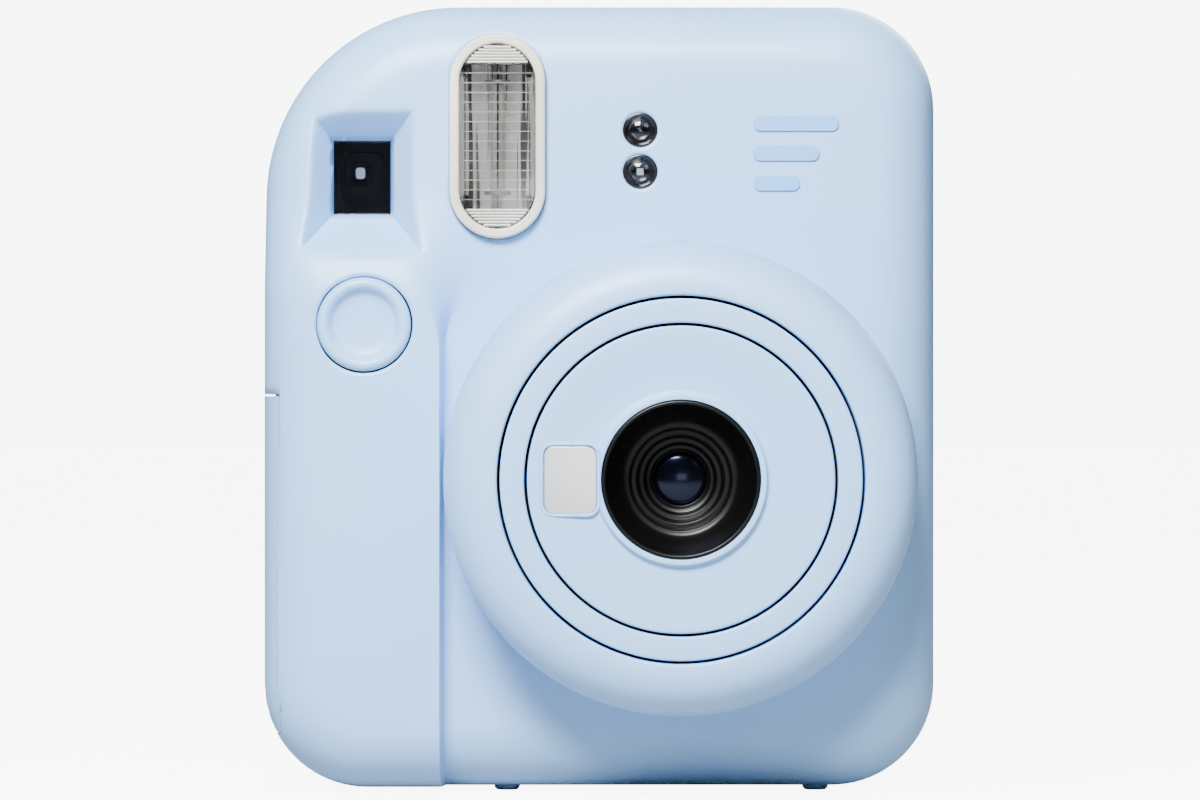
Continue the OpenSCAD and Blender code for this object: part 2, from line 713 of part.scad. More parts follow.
module light_sensors() {
  y = face_y + 6;
  color([0.25, 0.25, 0.28]) {
    for (z = sensor_z) y_cyl(2.2, face_y + 1.6, y, sensor_x, z);
    box([sensor_x - 3, y, sensor_z[1] - 4], [sensor_x + 3, y + 1, sensor_z[0] + 4]);
  }
}
module viewfinder_window() {
  y = face_y + recess_d;
  color(DARK) y_plate(y + 0.1, y + 1.1) rounded(finder_w + 0.5, finder_h + 0.5, 0.4, finder_x, finder_z);
}
module viewfinder_tube() {
  y = face_y + recess_d + 2.4;
  color(DARK) difference() {
    translate([finder_x, (y + rear_y - 0.6) / 2, finder_z])
      cube([tube_w, rear_y - 0.6 - y, tube_h], center = true);
    translate([finder_x, (y + rear_y) / 2, finder_z])
      cube([tube_w - 2.4, rear_y - y + 4, tube_h - 2.4], center = true);
  }
}
module viewfinder_lens() {
  color([0.7, 0.75, 0.8]) for (y = [split_y, rear_y - 3])
    y_plate(y, y + 1.4) square_at(finder_x, finder_z, tube_w - 2.5, tube_h - 2.5);
}
module square_at(x, z, w, h) {
  translate([x, z]) square([w, h], center = true);
}
module viewfinder_eyepiece() {
  color(DARK) y_plate(rear_y, rear_y + eyepiece_out) difference() {
    rounded(tube_w + 4, tube_h + 3, 3, finder_x, finder_z);
    rounded(tube_w - 4, tube_h - 5, 1.5, finder_x, finder_z);
  }
}

// --- film door: it turns about the hinge on the rear right edge ---
film_window_x = lens_x - 6;
film_window_z = 74;
film_window_w = 9;
film_window_h = 20;
liner_x0 = latch_x + 4.4;
latch_plate_w = 7.6;
spring_len = 7;
seat_z = latch_z - 7 - spring_len;
module film_window_shape(extra) {
  rounded(film_window_w + extra, film_window_h + extra, 1.5, film_window_x, film_window_z);
}
module film_door() {
  cuts = hinge_cuts();
  color(BLUE) {
    difference() {
      intersection() {
        difference() {
          body_solid(0);
          body_solid(wall);
        }
        box([door_x0, door_y, door_z0], [door_x1, rear_y + 1, door_z1]);
      }
      y_plate(rear_y - wall - 1, rear_y + 1) film_window_shape(-1.2);
      y_plate(rear_y - 1.2, rear_y + 1) film_window_shape(0.1);
      box([latch_x - 1.3, rear_y - wall - 1, latch_z - 4.3 - latch_travel],
        [latch_x + 1.3, rear_y + 1, latch_z + 4.3]);
    }
    for (k = [2, 4]) difference() {
      union() {
        z_cyl(hinge_r, cuts[k] + gap, cuts[k + 1] - gap, hinge_x, hinge_y);
        box([door_x1 - 1.2, hinge_y - 0.1, cuts[k] + gap], [hinge_x, hinge_y + 1.9, cuts[k + 1] - gap]);
      }
      z_cyl(pin_r + run_fit, cuts[k], cuts[k + 1], hinge_x, hinge_y);
    }
    // seat of the latch spring
    box([latch_x - 1.6, rear_y - wall - 2, seat_z - 1.2], [latch_x + 1.6, rear_y - wall + 0.3, seat_z]);
  }
}
module door_liner() {
  color(DARK) difference() {
    box([liner_x0, liner_y, chamber_z + 4], [chamber_x + pack_w - 1.5, rear_y - wall, chamber_top - 3]);
    y_plate(liner_y - 1, rear_y) film_window_shape(-1);
  }
}
module film_window() {
  color([0.5, 0.5, 0.52]) y_plate(rear_y - 1.2, rear_y - 0.2) film_window_shape(0);
}
module pressure_springs() {
  x0 = lens_x - 17;
  span = 34;
  bow = 1.5;
  strip = 0.35;
  lower = [for (i = [0:12]) [x0 + span * i / 12, liner_y - strip - bow * sin(15 * i)]];
  upper = [for (i = [12:-1:0]) [x0 + span * i / 12, liner_y - bow * sin(15 * i)]];
  color("silver") for (z = [chamber_z + 14, chamber_z + 42])
    translate([0, 0, z]) linear_extrude(6) polygon(concat(lower, upper));
}
module door_seals() {
  y = chamber_rear;
  color([0.08, 0.08, 0.08]) difference() {
    box([chamber_x - sheet, y, chamber_z - sheet], [chamber_x + pack_w + sheet, y + 1.3, chamber_top]);
    box([chamber_x, y - 1, chamber_z], [chamber_x + pack_w, y + 2, chamber_top - sheet]);
  }
}
module door_hinge_pin() {
  cuts = hinge_cuts();
  color("silver") z_cyl(pin_r, cuts[1], cuts[6], hinge_x, hinge_y);
}
module door_latch() {
  y1 = rear_y - wall - gap;
  color([0.70, 0.79, 0.87]) {
    y_plate(rear_y + gap, rear_y + 1.5) rounded(5.6, 15, 1.4, latch_x, latch_z);
    for (i = [-2:2])
      box([latch_x - 2.2, rear_y + 1.4, latch_z + 2 * i - 0.4],
        [latch_x + 2.2, rear_y + 1.8, latch_z + 2 * i + 0.4]);
    box([latch_x - 1, y1 - 0.5, latch_z - 4], [latch_x + 1, rear_y + 0.6, latch_z + 4]);
    box([latch_x - latch_plate_w / 2, y1 - 1.3, latch_z - 7], [latch_x + latch_plate_w / 2, y1, latch_z + 8]);
    for (z = [latch_z - 5, latch_z + 5])
      box([door_x0 + 0.2, y1 - 1.3, z], [latch_x, y1, z + 2]);
  }
}
module latch_spring() {
  color("silver") translate([latch_x, rear_y - wall - 1.05, seat_z + 0.02])
    coil(0.8, 0.2, 5, spring_len - 0.05);
}

// --- batteries ---
module battery_box() {
  color(DARK) difference() {
    intersection() {
      box([box_x0, box_y0 - 1, cell_z - 2.2], [box_x1 + 1, box_y1 + 1, box_z1]);
      union() {
        body_solid(wall + gap);
        grip_solid(wall + gap);
      }
    }
    box([box_x0 - 1, box_y0, cell_z - 1.2], [box_x1, box_y1, box_z1 - 0.8]);
  }
}
module battery_contacts() {
  low = cell_z - contact_t;
  high = cell_z + cell_h;
  color("silver") {
    box([cell_x - 5, cell_y[0] - 5, low], [cell_x + 5, cell_y[1] + 5, low + 0.4]);
    for (y = cell_y) z_cyl(3, low + 0.3, cell_z, cell_x, y);
    for (y = cell_y) box([cell_x - 5, y - 5, high + 0.7], [cell_x + 5, y + 5, high + 1.2]);
    for (y = cell_y) z_cyl(1.8, high, high + 0.8, cell_x, y);
  }
}
module aa_cells() {
  color([0.75, 0.6, 0.2]) for (y = cell_y) {
    z_cyl(cell_r, cell_z, cell_z + cell_h - 1, cell_x, y);
    z_cyl(2.75, cell_z + cell_h - 1.1, cell_z + cell_h, cell_x, y);
  }
}
module battery_door() {
  z0 = bdoor_z0 + 17 + gap;
  z1 = bdoor_z1 - 13 - gap;
  color(BLUE) {
    intersection() {
      covers_shell();
      box([left_x - 1, bdoor_y0, bdoor_z0], [left_x + 8, bdoor_y1, bdoor_z1]);
    }
    difference() {
      union() {
        z_cyl(bhinge_r, z0, z1, bhinge_x, bhinge_y);
        box([left_x + 0.3, bdoor_y1 - 0.6, z0], [bhinge_x + 0.3, bhinge_y, z1]);
      }
      z_cyl(bpin_r + run_fit, z0 - 1, z1 + 1, bhinge_x, bhinge_y);
    }
  }
}
module battery_door_pin() {
  color("silver") z_cyl(bpin_r, bdoor_z0 + 9, bdoor_z1 - 5, bhinge_x, bhinge_y);
}

// --- strap lugs, feet, screws and trim ---
module strap_lugs() {
  cup = lug_in + 2;
  rim = body_w / 2 - 2.4;
  back = body_w / 2 - lug_depth - 2.1;
  floor_t = 0.7;
  color([0.70, 0.79, 0.87]) for (s = [-1, 1]) {
    difference() {
      translate([s * (rim + back) / 2, lug_y, lug_z]) cube([rim - back, cup, cup], center = true);
      translate([s * (rim + back + 2 * floor_t) / 2, lug_y, lug_z])
        cube([rim - back, lug_in, lug_in], center = true);
    }
    z_cyl(lug_bar_r, lug_z - cup / 2, lug_z + cup / 2, s * (rim - lug_bar_r), lug_y);
  }
}
module feet() {
  color([0.66, 0.76, 0.85]) for (x = foot_x, y = foot_y) {
    z_cyl(foot_r, 0.3, foot_h + 1.2, x, y);
    translate([x, y, 0]) cylinder(r1 = foot_r - 0.4, r2 = foot_r, h = 0.3);
  }
}
module case_screws() {
  color("silver") for (p = screw_at) difference() {
    union() {
      y_cyl(screw_head_r, rear_y - 1.3, rear_y - 0.2, p[0], p[1]);
      y_cyl(screw_r, rear_y - wall - boss_len, rear_y - 1.2, p[0], p[1]);
    }
    y_plate(rear_y - 0.7, rear_y) translate([p[0], p[1]]) {
      square([2.4, 0.5], center = true);
      square([0.5, 2.4], center = true);
    }
  }
}
module trim_bars() {
  color([0.68, 0.82, 0.93]) y_plate(face_y - 0.3, face_y)
    for (i = [0:2]) rounded(13.2 - 3 * i, 2.4, 1.1, 30.2 - 1.5 * i, body_h - 18.6 - 4.6 * i);
}

front_cover();
rear_cover();
lens_housing();
barrel_guide();
lens_barrel();
lens_ring();
face_panel();
selfie_mirror();
lens_cone();
front_element();
shutter_plate();
shutter_blade();
shutter_solenoid();
rear_element();
light_cone();
film_chamber();
roller_frame();
drive_roller();
pinch_roller();
idler_gear();
motor_pinion();
motor();
motor_bracket();
film_pick();
counter_dial();
dial_bracket();
counter_window();
shutter_button();
button_spring();
button_switch();
main_board();
flash_board();
flash_capacitor();
flash_bezel();
flash_window();
flash_reflector();
flash_tube();
sensor_windows();
light_sensors();
viewfinder_window();
viewfinder_tube();
viewfinder_lens();
viewfinder_eyepiece();
film_door();
door_liner();
film_window();
pressure_springs();
door_seals();
door_hinge_pin();
door_latch();
latch_spring();
battery_box();
battery_contacts();
aa_cells();
battery_door();
battery_door_pin();
strap_lugs();
feet();
case_screws();
trim_bars();
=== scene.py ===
import math
import bpy
import bmesh
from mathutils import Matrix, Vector
from mathutils.geometry import delaunay_2d_cdt


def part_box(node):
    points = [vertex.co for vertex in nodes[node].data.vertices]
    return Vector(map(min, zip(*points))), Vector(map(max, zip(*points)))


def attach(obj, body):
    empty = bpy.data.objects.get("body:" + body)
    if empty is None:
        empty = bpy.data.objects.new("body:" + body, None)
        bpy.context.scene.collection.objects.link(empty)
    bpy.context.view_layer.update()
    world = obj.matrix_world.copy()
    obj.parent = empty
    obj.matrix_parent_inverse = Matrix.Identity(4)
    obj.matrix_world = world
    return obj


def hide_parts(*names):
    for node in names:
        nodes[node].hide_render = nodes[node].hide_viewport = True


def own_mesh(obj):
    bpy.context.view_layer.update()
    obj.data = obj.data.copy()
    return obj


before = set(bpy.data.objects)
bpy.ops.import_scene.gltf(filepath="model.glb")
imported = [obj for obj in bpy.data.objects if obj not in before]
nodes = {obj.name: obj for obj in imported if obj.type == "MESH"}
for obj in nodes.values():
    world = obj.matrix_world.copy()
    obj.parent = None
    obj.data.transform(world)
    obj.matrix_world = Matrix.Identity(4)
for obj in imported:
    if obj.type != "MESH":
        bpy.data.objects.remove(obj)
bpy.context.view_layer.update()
mm = 0.001
print("stage: frame loaded,", len(nodes), "nodes")


def middle(node):
    low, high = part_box(node)
    return [(a + b) / 2 for a, b in zip(low, high)]


def size(node):
    low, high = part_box(node)
    return [b - a for a, b in zip(low, high)]


# driving places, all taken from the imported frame
coverLow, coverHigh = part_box("front_cover")
lensX, _, lensZ = middle("lens_housing")
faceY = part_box("lens_housing")[1][1]  # the plane that the lens housing stands on
gripY = coverLow[1]  # foremost plane of the grip
splitY = coverHigh[1]  # where the front cover meets the rear one
domeRadius = size("lens_housing")[0] / 2


# hex colour to linear values
def rgb(hexText, alpha=1.0):
    parts = [int(hexText[i:i + 2], 16) / 255 for i in (1, 3, 5)]
    return [c / 12.92 if c <= 0.04045 else ((c + 0.055) / 1.055) ** 2.4 for c in parts] + [alpha]


# a node with its settings (an input or a property) and its links
def addNode(tree, kind, settings=None, links=None):
    node = tree.nodes.new(kind)
    for key, value in (settings or {}).items():
        if isinstance(key, int) or key in node.inputs:
            node.inputs[key].default_value = value
        else:
            setattr(node, key, value)
    for key, source in (links or {}).items():
        tree.links.new(source, node.inputs[key])
    return node


def startMaterial(name, shaderSettings):
    material = bpy.data.materials.new(name)
    material.use_nodes = True
    tree = material.node_tree
    tree.nodes.clear()
    shader = addNode(tree, "ShaderNodeBsdfPrincipled", shaderSettings)
    addNode(tree, "ShaderNodeOutputMaterial", None, {"Surface": shader.outputs[0]})
    place = addNode(tree, "ShaderNodeTexCoord").outputs["Object"]
    return material, tree, shader, place


# Moulded plastic: two close tints drift over centimetres, and a spark-eroded grain lifts the surface
def mouldedPlastic(name, tintA, tintB, rough, grain, lift, coat=0.0, ior=1.53):
    material, tree, shader, place = startMaterial(
        name, {"IOR": ior, "Coat Weight": coat, "Coat Roughness": 0.25})
    drift = addNode(tree, "ShaderNodeTexNoise", {"Scale": 1 / 0.035, "Detail": 2.0}, {"Vector": place})
    tint = addNode(tree, "ShaderNodeValToRGB", None, {"Fac": drift.outputs["Fac"]})
    tint.color_ramp.elements[0].position = 0.35
    tint.color_ramp.elements[0].color = rgb(tintA)
    tint.color_ramp.elements[1].position = 0.65
    tint.color_ramp.elements[1].color = rgb(tintB)
    fine = addNode(tree, "ShaderNodeTexNoise", {"Scale": 1 / grain, "Detail": 3.0}, {"Vector": place})
    gloss = addNode(tree, "ShaderNodeMapRange", {"To Min": rough - 0.04, "To Max": rough + 0.04},
                    {"Value": fine.outputs["Fac"]})
    bump = addNode(tree, "ShaderNodeBump", {"Strength": 0.35, "Distance": lift},
                   {"Height": fine.outputs["Fac"]})
    tree.links.new(tint.outputs["Color"], shader.inputs["Base Color"])
    tree.links.new(gloss.outputs["Result"], shader.inputs["Roughness"])
    tree.links.new(bump.outputs["Normal"], shader.inputs["Normal"])
    return material


# Metal: hairlines run along one direction, from brushing, turning or drawing
def drawnMetal(name, tint, rough, stretch, lift):
    material, tree, shader, place = startMaterial(name, {"Base Color": rgb(tint), "Metallic": 1.0})
    run = addNode(tree, "ShaderNodeMapping", {"Scale": stretch}, {"Vector": place})
    lines = addNode(tree, "ShaderNodeTexNoise", {"Scale": 1 / 0.0006, "Detail": 4.0},
                    {"Vector": run.outputs["Vector"]})
    gloss = addNode(tree, "ShaderNodeMapRange", {"To Min": rough - 0.06, "To Max": rough + 0.1},
                    {"Value": lines.outputs["Fac"]})
    bump = addNode(tree, "ShaderNodeBump", {"Strength": 0.3, "Distance": lift},
                   {"Height": lines.outputs["Fac"]})
    tree.links.new(gloss.outputs["Result"], shader.inputs["Roughness"])
    tree.links.new(bump.outputs["Normal"], shader.inputs["Normal"])
    return material


# Clear plastic and glass: smooth, with faint moulding waves a centimetre long
def clearGlass(name, tint, rough, ior, wave):
    material, tree, shader, place = startMaterial(
        name, {"Base Color": rgb(tint), "Transmission Weight": 1.0, "Roughness": rough, "IOR": ior})
    swell = addNode(tree, "ShaderNodeTexNoise", {"Scale": 1 / 0.008, "Detail": 1.0}, {"Vector": place})
    bump = addNode(tree, "ShaderNodeBump", {"Strength": 0.2, "Distance": wave},
                   {"Height": swell.outputs["Fac"]})
    tree.links.new(bump.outputs["Normal"], shader.inputs["Normal"])
    return material


# Satin blue ABS: soft, silky highlights on the body, and an accent one tone deeper
absBlue = mouldedPlastic("satinBlueAbs", "#8CBAEC", "#90BDED", 0.42, 0.00035, 0.000012)
absBlueDeep = mouldedPlastic("satinBlueAbsAccent", "#68A6E4", "#6CA9E6", 0.42, 0.00035, 0.000012)
# Black plastics inside the body and the lens: low index, so they swallow stray light
absBlack = mouldedPlastic("matteBlackAbs", "#08080A", "#0C0C0E", 0.55, 0.0003, 0.00002, ior=1.35)
lensBlack = mouldedPlastic("satinBlackPolycarbonate", "#030303", "#050506", 0.36, 0.0006, 0.000008, ior=1.3)
rubberBlack = mouldedPlastic("matteNitrileRubber", "#17171A", "#1E1E21", 0.75, 0.0004, 0.00003)  # dead flat
nylonWhite = mouldedPlastic("milkyNylon", "#E6E4DC", "#EDECE6", 0.4, 0.0005, 0.00001)  # waxy white
foamBlack = mouldedPlastic("openCellFoam", "#0E0E0F", "#1C1C1E", 0.95, 0.0005, 0.00012)  # coarse, no shine
boardGreen = mouldedPlastic("solderMaskOnFibreglass", "#0E4A2C", "#12583A", 0.32, 0.0008, 0.00002, coat=0.4)
jacketGold = mouldedPlastic("shrinkFilmOnCell", "#B08A3A", "#B8933F", 0.25, 0.002, 0.00002, coat=0.5)
sleeveNavy = mouldedPlastic("shrinkSleevePvc", "#16162A", "#1C1C32", 0.28, 0.001, 0.00001, coat=0.3)
# Ivory and smoked clear plastics: the coat gives them a wet, polished edge
rimIvory = mouldedPlastic("ivoryPolycarbonate", "#B9B5A6", "#E2E0D6", 0.2, 0.004, 0.000006, coat=0.4)
smokeBlack = mouldedPlastic("smokedAcrylic", "#060608", "#0A0A0D", 0.08, 0.004, 0.000002, coat=0.6, ior=1.49)
# Metals: hairlines along Z on steel and along X on brass, and rings round X where copper is wound
steel = drawnMetal("brushedStainlessSteel", "#B9BBBE", 0.3, (1.0, 1.0, 0.05), 0.000004)
brass = drawnMetal("turnedBrass", "#C9A45A", 0.3, (0.05, 1.0, 1.0), 0.000004)
copper = drawnMetal("woundCopperWire", "#B06A3C", 0.35, (8.0, 0.3, 0.3), 0.00002)

# Silvered acrylic: a clean mirror whose moulded face waves very slightly
mirrorSilver, mirrorTree, mirrorShader, mirrorPlace = startMaterial(
    "vacuumSilveredAcrylic", {"Base Color": rgb("#E9EBEE"), "Metallic": 1.0, "Roughness": 0.13})
wave = addNode(mirrorTree, "ShaderNodeTexNoise", {"Scale": 1 / 0.012, "Detail": 0.0}, {"Vector": mirrorPlace})
waveBump = addNode(mirrorTree, "ShaderNodeBump", {"Strength": 0.3, "Distance": 0.00003},
                   {"Height": wave.outputs["Fac"]})
mirrorTree.links.new(waveBump.outputs["Normal"], mirrorShader.inputs["Normal"])

# Polished foil with painted reflections: upright streaks from bright silver to grey in its colour stand in
# for the room that a rolled reflector throws back
foilPaintedReflections, foilTree, foilShader, foilPlace = startMaterial(
    "aluminiumFoilPaintedReflections", {"Metallic": 0.25, "Roughness": 0.2})
foilRun = addNode(foilTree, "ShaderNodeMapping", {"Scale": (1.0, 0.4, 0.035)}, {"Vector": foilPlace})
paintedReflectionStreak = addNode(foilTree, "ShaderNodeTexNoise", {"Scale": 1 / 0.0011, "Detail": 2.0},
                     {"Vector": foilRun.outputs["Vector"]})
paintedReflectionTint = addNode(foilTree, "ShaderNodeValToRGB", None, {"Fac": paintedReflectionStreak.outputs["Fac"]})
paintedReflectionTint.color_ramp.elements[0].position = 0.43
paintedReflectionTint.color_ramp.elements[0].color = rgb("#5C5C59")
paintedReflectionTint.color_ramp.elements[1].position = 0.50
paintedReflectionTint.color_ramp.elements[1].color = rgb("#FFFFFD")
foilTree.links.new(paintedReflectionTint.outputs["Color"], foilShader.inputs["Base Color"])

glassClear = clearGlass("clearPolycarbonate", "#FFFFFF", 0.03, 1.49, 0.00001)
glassLens = clearGlass("coatedOpticalGlass", "#C8D2E6", 0.02, 1.52, 0.000001)
# Multicoated glass drawn opaque: its near-black base is painted shade for the dark barrel seen through it,
# and it keeps a cool film-coloured glint
glassFront = startMaterial("multicoatedGlass", {
    "Base Color": rgb("#04060A"), "Roughness": 0.16, "IOR": 1.42, "Specular Tint": rgb("#A9BEFF"),
    "Coat Weight": 0.15, "Coat Roughness": 0.03, "Coat Tint": rgb("#B8C8FF")})[0]
print("stage: materials made")

# CAD nodes that are shown as they are, under the material each one is made of
plainMaterials = {
    absBlueDeep: "strap_lugs feet door_latch trim_bars",
    absBlack: "barrel_guide light_cone film_chamber roller_frame dial_bracket viewfinder_tube battery_box "
              "button_switch shutter_plate door_liner",
    rubberBlack: "drive_roller",
    nylonWhite: "idler_gear counter_dial",
    foamBlack: "door_seals",
    boardGreen: "main_board flash_board",
    jacketGold: "aa_cells",
    sleeveNavy: "flash_capacitor light_sensors",
    smokeBlack: "film_window",
    steel: "pinch_roller motor motor_bracket film_pick button_spring latch_spring shutter_blade "
           "door_hinge_pin battery_door_pin battery_contacts pressure_springs",
    brass: "motor_pinion",
    copper: "shutter_solenoid",
    glassClear: "viewfinder_lens counter_window",
    glassLens: "rear_element",
}
for material, names in plainMaterials.items():
    for name in names.split():
        nodes[name].data.materials.clear()
        nodes[name].data.materials.append(material)


def pieceFrom(name, bm, material, smoothAngle=35):
    bmesh.ops.remove_doubles(bm, verts=bm.verts, dist=1e-7)
    bmesh.ops.recalc_face_normals(bm, faces=bm.faces)
    mesh = bpy.data.meshes.new(name)
    bm.to_mesh(mesh)
    bm.free()
    piece = bpy.data.objects.new(name, mesh)
    bpy.context.scene.collection.objects.link(piece)
    piece.data.materials.append(material)
    mesh.shade_smooth()
    mesh.set_sharp_from_angle(angle=math.radians(smoothAngle))
    return piece


def place(piece, body, *replaced):
    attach(piece, body)
    if replaced:
        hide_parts(*replaced)
    return piece


def bevelled(piece, width, segments=2, angle=40):
    bevel = piece.modifiers.new("edgeRounding", "BEVEL")
    bevel.width = width
    bevel.segments = segments
    bevel.limit_method = "ANGLE"
    bevel.angle_limit = math.radians(angle)
    bevel.harden_normals = False
    weights = piece.modifiers.new("evenShading", "WEIGHTED_NORMAL")
    weights.keep_sharp = True
    weights.weight = 100
    return piece


# a CAD solid, merged and cleaned, with its moulded edges rounded
def refined(node, name, material, width, angle=40):
    bm = bmesh.new()
    bm.from_mesh(nodes[node].data)
    bmesh.ops.remove_doubles(bm, verts=bm.verts, dist=2e-6)
    bmesh.ops.dissolve_limit(bm, angle_limit=math.radians(1.0), verts=bm.verts, edges=bm.edges)
    piece = pieceFrom(name, bm, material)
    return bevelled(piece, width, 2, angle)


def arc(cx, cy, radius, start, stop, count):
    angles = [math.radians(start + (stop - start) * i / count) for i in range(count + 1)]
    return [(cx + radius * math.cos(angle), cy + radius * math.sin(angle)) for angle in angles]


# a closed profile of (radius, height) in metres, turned about an axis along -Y
def turned(name, profile, material, centre, segments=160, smoothAngle=35):
    x0, y0, z0 = centre
    bm = bmesh.new()
    rings = []
    for radius, height in profile:
        if radius < 1e-7:
            rings.append([bm.verts.new((x0, y0 - height, z0))])
            continue
        rings.append([bm.verts.new((x0 + radius * math.cos(2 * math.pi * i / segments), y0 - height,
                                    z0 + radius * math.sin(2 * math.pi * i / segments)))
                      for i in range(segments)])
    for first, second in zip(rings, rings[1:] + rings[:1]):
        for i in range(segments):
            j = (i + 1) % segments
            corners = [first[i % len(first)], first[j % len(first)],
                       second[j % len(second)], second[i % len(second)]]
            corners = [c for k, c in enumerate(corners) if c not in corners[:k]]
            if len(corners) > 2:
                bm.faces.new(corners)
    return pieceFrom(name, bm, material, smoothAngle)


# an outline in X and Z, as thick as yFront to yRear
def slab(name, outline, yFront, yRear, material):
    bm = bmesh.new()
    face = bm.faces.new([bm.verts.new((x, yFront, z)) for x, z in outline])
    walls = bmesh.ops.extrude_face_region(bm, geom=[face])
    moved = [g for g in walls["geom"] if isinstance(g, bmesh.types.BMVert)]
    bmesh.ops.translate(bm, verts=moved, vec=(0, yRear - yFront, 0))
    return pieceFrom(name, bm, material)


def stadiumOutline(cx, cz, width, height, count=24):
    r = width / 2
    s = height / 2 - r
    return arc(cx, cz + s, r, 0, 180, count) + arc(cx, cz - s, r, 180, 360, count)


def roundedOutline(cx, cz, width, height, radius, count=8):
    a = width / 2 - radius
    b = height / 2 - radius
    return (arc(cx + a, cz + b, radius, 0, 90, count) + arc(cx - a, cz + b, radius, 90, 180, count)
            + arc(cx - a, cz - b, radius, 180, 270, count) + arc(cx + a, cz - b, radius, 270, 360, count))


# Geometry Nodes: copies of one small part along a line, as one plain mesh
def repeated(name, unit, count, step, material):
    tree = bpy.data.node_groups.new(name + "Tree", "GeometryNodeTree")
    face = tree.interface
    face.new_socket("Geometry", in_out="OUTPUT", socket_type="NodeSocketGeometry")
    sockets = {}
    for label, kind, value in (("Count", "NodeSocketInt", count), ("Step", "NodeSocketVector", step)):
        sockets[label] = (face.new_socket(label, in_out="INPUT", socket_type=kind).identifier, value)
    given = addNode(tree, "NodeGroupInput")
    source = addNode(tree, "GeometryNodeObjectInfo", {"Object": unit})
    row = addNode(tree, "GeometryNodeMeshLine", None,
                  {"Count": given.outputs["Count"], "Offset": given.outputs["Step"]})
    copies = addNode(tree, "GeometryNodeInstanceOnPoints", None,
                     {"Points": row.outputs["Mesh"], "Instance": source.outputs["Geometry"]})
    real = addNode(tree, "GeometryNodeRealizeInstances", None, {"Geometry": copies.outputs["Instances"]})
    painted = addNode(tree, "GeometryNodeSetMaterial", {"Material": material},
                      {"Geometry": real.outputs["Geometry"]})
    addNode(tree, "NodeGroupOutput", None, {"Geometry": painted.outputs["Geometry"]})
    carrier = bpy.data.objects.new(name + "Carrier", bpy.data.meshes.new(name + "Carrier"))
    bpy.context.scene.collection.objects.link(carrier)
    modifier = carrier.modifiers.new("repeat", "NODES")
    modifier.node_group = tree
    for identifier, value in sockets.values():
        modifier[identifier] = value
    graph = bpy.context.evaluated_depsgraph_get()
    mesh = bpy.data.meshes.new_from_object(carrier.evaluated_get(graph))
    bpy.data.objects.remove(carrier)
    bpy.data.objects.remove(unit)
    mesh.name = name
    piece = bpy.data.objects.new(name, mesh)
    bpy.context.scene.collection.objects.link(piece)
    return piece


print("stage: helpers ready")
refinedPieces = {  # node: (piece name, material, edge rounding in metres)
    "rear_cover": ("rearShell", absBlue, 0.0004),
    "film_door": ("filmDoorShell", absBlue, 0.0005),
    "battery_door": ("batteryDoorShell", absBlue, 0.0004),
    "viewfinder_eyepiece": ("eyepieceFrame", lensBlack, 0.0003),
    "lens_barrel": ("barrelTube", lensBlack, 0.0002),
}
bodies = {"film_door": "film_door", "battery_door": "battery_door", "lens_barrel": "barrel"}
for node, (name, material, width) in refinedPieces.items():
    place(refined(node, name, material, width), bodies.get(node, "camera"), node)
print("stage: covers and doors rounded")


# front shell: a depth map over the outline, with the grip step and the finder recess
shellSizes = {
    "smallCorner": 0.016,
    "shoulder": 0.030,
    "edge": 0.010,  # how far the front rounds over into the sides
    "wall": 0.0018,
    "gripStep": 0.0277,  # from the left side to the step beside the grip
    "gripWidths": (0.0007, 0.0130),  # width of the step low on the body, and where it melts away
    "gripMelt": (0.0690, 0.0840),  # height over which the step widens
    "gripFade": (0.0755, 0.0950),  # height over which the grip sinks into the face
    "finderMouth": (0.0160, 0.0200),
    "finderFloor": (0.0088, 0.0114),
    "finderDepth": 0.0060,
    "finderSoft": 0.0007,  # how gently the recess rolls into the face
    "spacing": 0.0013,  # between the points of the mesh
    "seam": 0.0003,
    "slotX": (-0.0168, 0.0412),  # print slot in the top wall
    "slotY": 0.0068,
    "lugZ": (0.0913, 0.1017),  # strap pockets in both side walls
    "lugY": 0.0073,
    "doorGap": 0.0003,  # above and below the battery door
    "doorReach": 0.00267,  # how far the door wraps round on to the face
}
sensorSizes = {"x": 0.0062, "heights": (0.1024, 0.0960), "hole": 0.0027, "die": 0.0010}
leftX, rightX = round(coverLow[0], 6), round(coverHigh[0], 6)
bottomZ, topZ = coverLow[2], coverHigh[2]
small, shoulder, edge = shellSizes["smallCorner"], shellSizes["shoulder"], shellSizes["edge"]
corners = ((rightX - small, topZ - small, small, 0), (leftX + shoulder, topZ - shoulder, shoulder, 90),
           (leftX + small, bottomZ + small, small, 180), (rightX - small, bottomZ + small, small, 270))
buttonX, _, buttonZ = middle("shutter_button")
buttonHole = size("shutter_button")[0] / 2
finderX, _, finderZ = middle("viewfinder_window")
flashX, _, flashZ = middle("flash_bezel")
flashW, _, flashH = size("flash_bezel")
doorLow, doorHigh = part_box("battery_door")


# how far a point lies inside the outline
def inset(x, z):
    nearest = min(x - leftX, rightX - x, z - bottomZ, topZ - z)
    for cx, cz, r, start in corners:
        sx = 1 if start in (0, 270) else -1
        sz = 1 if start in (0, 90) else -1
        if (x - cx) * sx > 0 and (z - cz) * sz > 0:
            nearest = min(nearest, r - math.hypot(x - cx, z - cz))
    return nearest


def ease(value, start, end):
    t = min(max((value - start) / (end - start), 0), 1)
    return t * t * (3 - 2 * t)


def stepWidth(z):
    narrow, wide = shellSizes["gripWidths"]
    return narrow + (wide - narrow) * ease(z, *shellSizes["gripMelt"])


